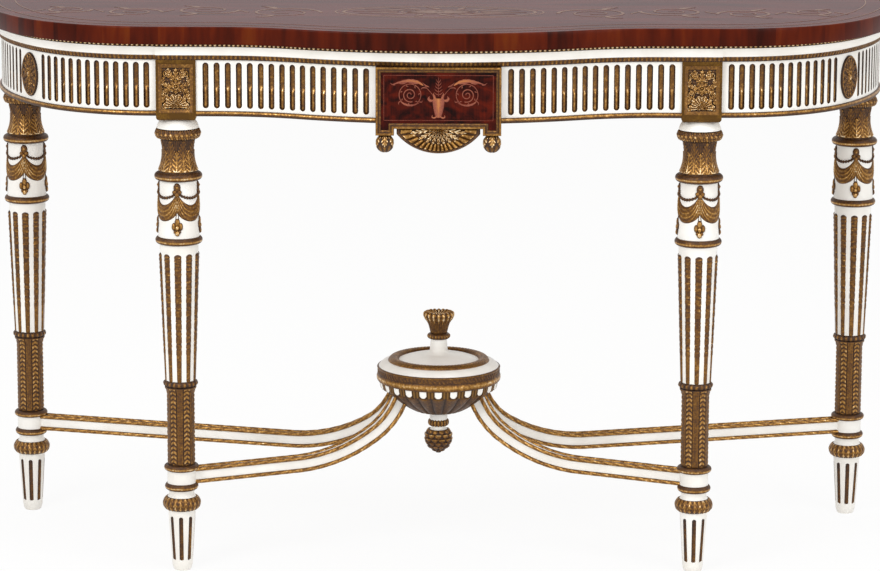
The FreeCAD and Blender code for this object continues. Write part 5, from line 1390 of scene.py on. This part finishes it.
# half sizes and half width of the ovals; middle and radius of the scrolls to one side; insets of the string lines
topOvals = ((165, 78, 1.4), (152, 67, 2.6), (60, 30, 1.2))
topScrolls = ((245, 58), (370, 52), (485, 46), (590, 38))
topInlay = {"petals": 16, "rays": 14, "rayLean": 0.16, "sway": 14, "strings": (24, 54), "stringHalf": 1.0,
            "stringEnd": 30}


def makeTopInlay():
    # middle oval with a rosette, and running scrolls with leaves to both sides, all inside a string line
    s, sheets = topInlay, []
    lay, layLeaf = inlayOn(sheets, lambda p: p + np.array([0, 0, topLevel]), thickness=0.12, growth=0.003)

    def onOval(angle, halfX, halfY):
        return np.array([math.cos(angle) * halfX, math.sin(angle) * halfY])

    for halfX, halfY, half in topOvals:
        lay(oval((0, 0), halfX, halfY, 160), half, (0.7, 0.7))
    for index in range(s["petals"]):
        tip = onOval(index * 2 * pi / s["petals"], 56, 27)
        layLeaf([tip * 0.15, tip * 0.6, tip], 6.5, 3, (0.75, 0.35), count=24)
    for index in range(s["rays"]):
        a = (index + 0.5) * 2 * pi / s["rays"]
        root, tip = onOval(a, 66, 33), onOval(a + s["rayLean"], 138, 60)
        layLeaf([root, (root + tip) / 2 + [4, 3], tip], 6, 4, (0.7, 0.4), count=24)
    for side in (-1, 1):
        for number, (x, radius) in enumerate(topScrolls):
            hand = 1 if number % 2 else -1
            y, end = s["sway"] * hand, x + radius
            middle = np.array([side * x, y])
            coil = spiral(middle, radius, 1.9, 180 if side > 0 else 0, side * hand)
            lay(coil, np.linspace(3.0, 1.2, 90), (0.7, 0.5))
            for root in (coil[14], coil[32]):
                away = root - middle
                layLeaf([root, root + away * 0.5, root + away * 0.62 + [side * 16, 0]], 7, 5, (0.75, 0.4), count=24)
            lay(curve([(side * end, y), (side * (end + 8), 0), (side * (end + 16), -y)], 16), 2.0, (0.75, 0.45))
    distance = np.linspace(-topEnd + s["stringEnd"], topEnd - s["stringEnd"], 400)
    for inset in s["strings"]:
        lay(station(distance, plan["overhang"] - inset)[0], s["stringHalf"], (0.75, 0.75))
    makePiece("top_inlay", sheets, greyedSatinwood, (), 40)


makeTopEdge()
makeTopInlay()
print("top dressed")


# Materials of the solids that stay

finishOf = {"white_paint": whitePaint, "gilt": plainGilt, "mahogany_veneer": topMahogany, "secondary_wood": beech,
            "steel": blackSteel}
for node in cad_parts.values():
    slotName = node.data.materials[0].name if node.data.materials else "white_paint"
    node.data.materials.clear()
    node.data.materials.append(finishOf.get(slotName, whitePaint))
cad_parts["tablet_panel"].data.materials[0] = tabletMahogany
print("solids painted")


# Floor, light and camera

stage = {"floor": 40.0, "white": "#ffffff", "floorTone": "#f2f1ef", "veil": 0.9, "sky": (0.72, 1.0)}


def seenBy(tree, *kinds):
    # 1 for rays of the named kinds
    ray = addNode(tree, "LightPath")
    seen = ray.outputs[kinds[0]]
    for kind in kinds[1:]:
        seen = addNode(tree, "Math", {0: seen, 1: ray.outputs[kind]}, operation="MAXIMUM").outputs[0]
    return seen


def emptyTree(owner):
    owner.use_nodes = True
    owner.node_tree.nodes.clear()
    return owner.node_tree


half = stage["floor"] / 2
floorMesh = bpy.data.meshes.new("floor")
floorMesh.from_pydata([(-half, -half, 0), (half, -half, 0), (half, half, 0), (-half, half, 0)], [], [(0, 1, 2, 3)])
floor = bpy.data.objects.new("floor", floorMesh)
scene.collection.objects.link(floor)
# white to the camera, but for a share that keeps the object's shadow
floorPaint = bpy.data.materials.new("studio_floor")
tree = emptyTree(floorPaint)
seen = seenBy(tree, "Is Camera Ray", "Is Glossy Ray")
veil = addNode(tree, "Math", {0: seen, 1: stage["veil"]}, operation="MULTIPLY")
matte = addNode(tree, "BsdfDiffuse", {"Color": toLinear(stage["floorTone"])})
glow = addNode(tree, "Emission", {"Color": toLinear(stage["white"]), "Strength": 1.0})
addNode(tree, "OutputMaterial", {0: addNode(tree, "MixShader", {0: veil, 1: matte, 2: glow})})
floorMesh.materials.append(floorPaint)

world = bpy.data.worlds.new("studio")
scene.world = world
tree = emptyTree(world)
seen = seenBy(tree, "Is Camera Ray", "Is Glossy Ray", "Is Transmission Ray")
strength = addNode(tree, "MapRange", {0: seen, 3: stage["sky"][0], 4: stage["sky"][1]})
sky = addNode(tree, "Background", {"Color": toLinear(stage["white"]), "Strength": strength})
addNode(tree, "OutputWorld", {0: sky})


def aim(place, target):
    # matrix of a lamp at a place, looking at a target
    back = np.subtract(place, target)
    back = back / np.linalg.norm(back)
    right = np.cross([0, 0, 1], back)
    right /= np.linalg.norm(right)
    full = np.eye(4)
    full[:3, :3], full[:3, 3] = np.stack([right, np.cross(back, right), back], 1), place
    return Matrix(full.tolist())


lamps = {"key": {"place": (-2.2, -3.0, 2.6), "size": 1.6, "power": 60},
         "fill": {"place": (2.6, -2.8, 1.8), "size": 1.8, "power": 36},
         "top": {"place": (0.2, -0.6, 3.2), "size": 2.2, "power": 36}}
lampTarget = (0, 0, 0.45)
for name, s in lamps.items():
    light = bpy.data.lights.new(name, "AREA")
    light.size, light.energy = s["size"], s["power"]
    lamp = bpy.data.objects.new(name, light)
    lamp.matrix_world = aim(s["place"], lampTarget)
    scene.collection.objects.link(lamp)

view = {"place": (0.0303, -5.781, 1.588), "yaw": -0.0049, "pitch": 0.1972, "roll": 0.0031, "lens": 150.0,
        "sensor": 36.0}
camera = bpy.data.objects.new("camera", bpy.data.cameras.new("camera"))
camera.data.lens, camera.data.sensor_width = view["lens"], view["sensor"]
camera.data.clip_end = 200.0
camera.matrix_world = (Matrix.Translation(view["place"]) @ Matrix.Rotation(-view["yaw"], 4, "Z")
                       @ Matrix.Rotation(pi / 2 - view["pitch"], 4, "X") @ Matrix.Rotation(view["roll"], 4, "Z"))
scene.collection.objects.link(camera)
scene.camera = camera

print("scene done")
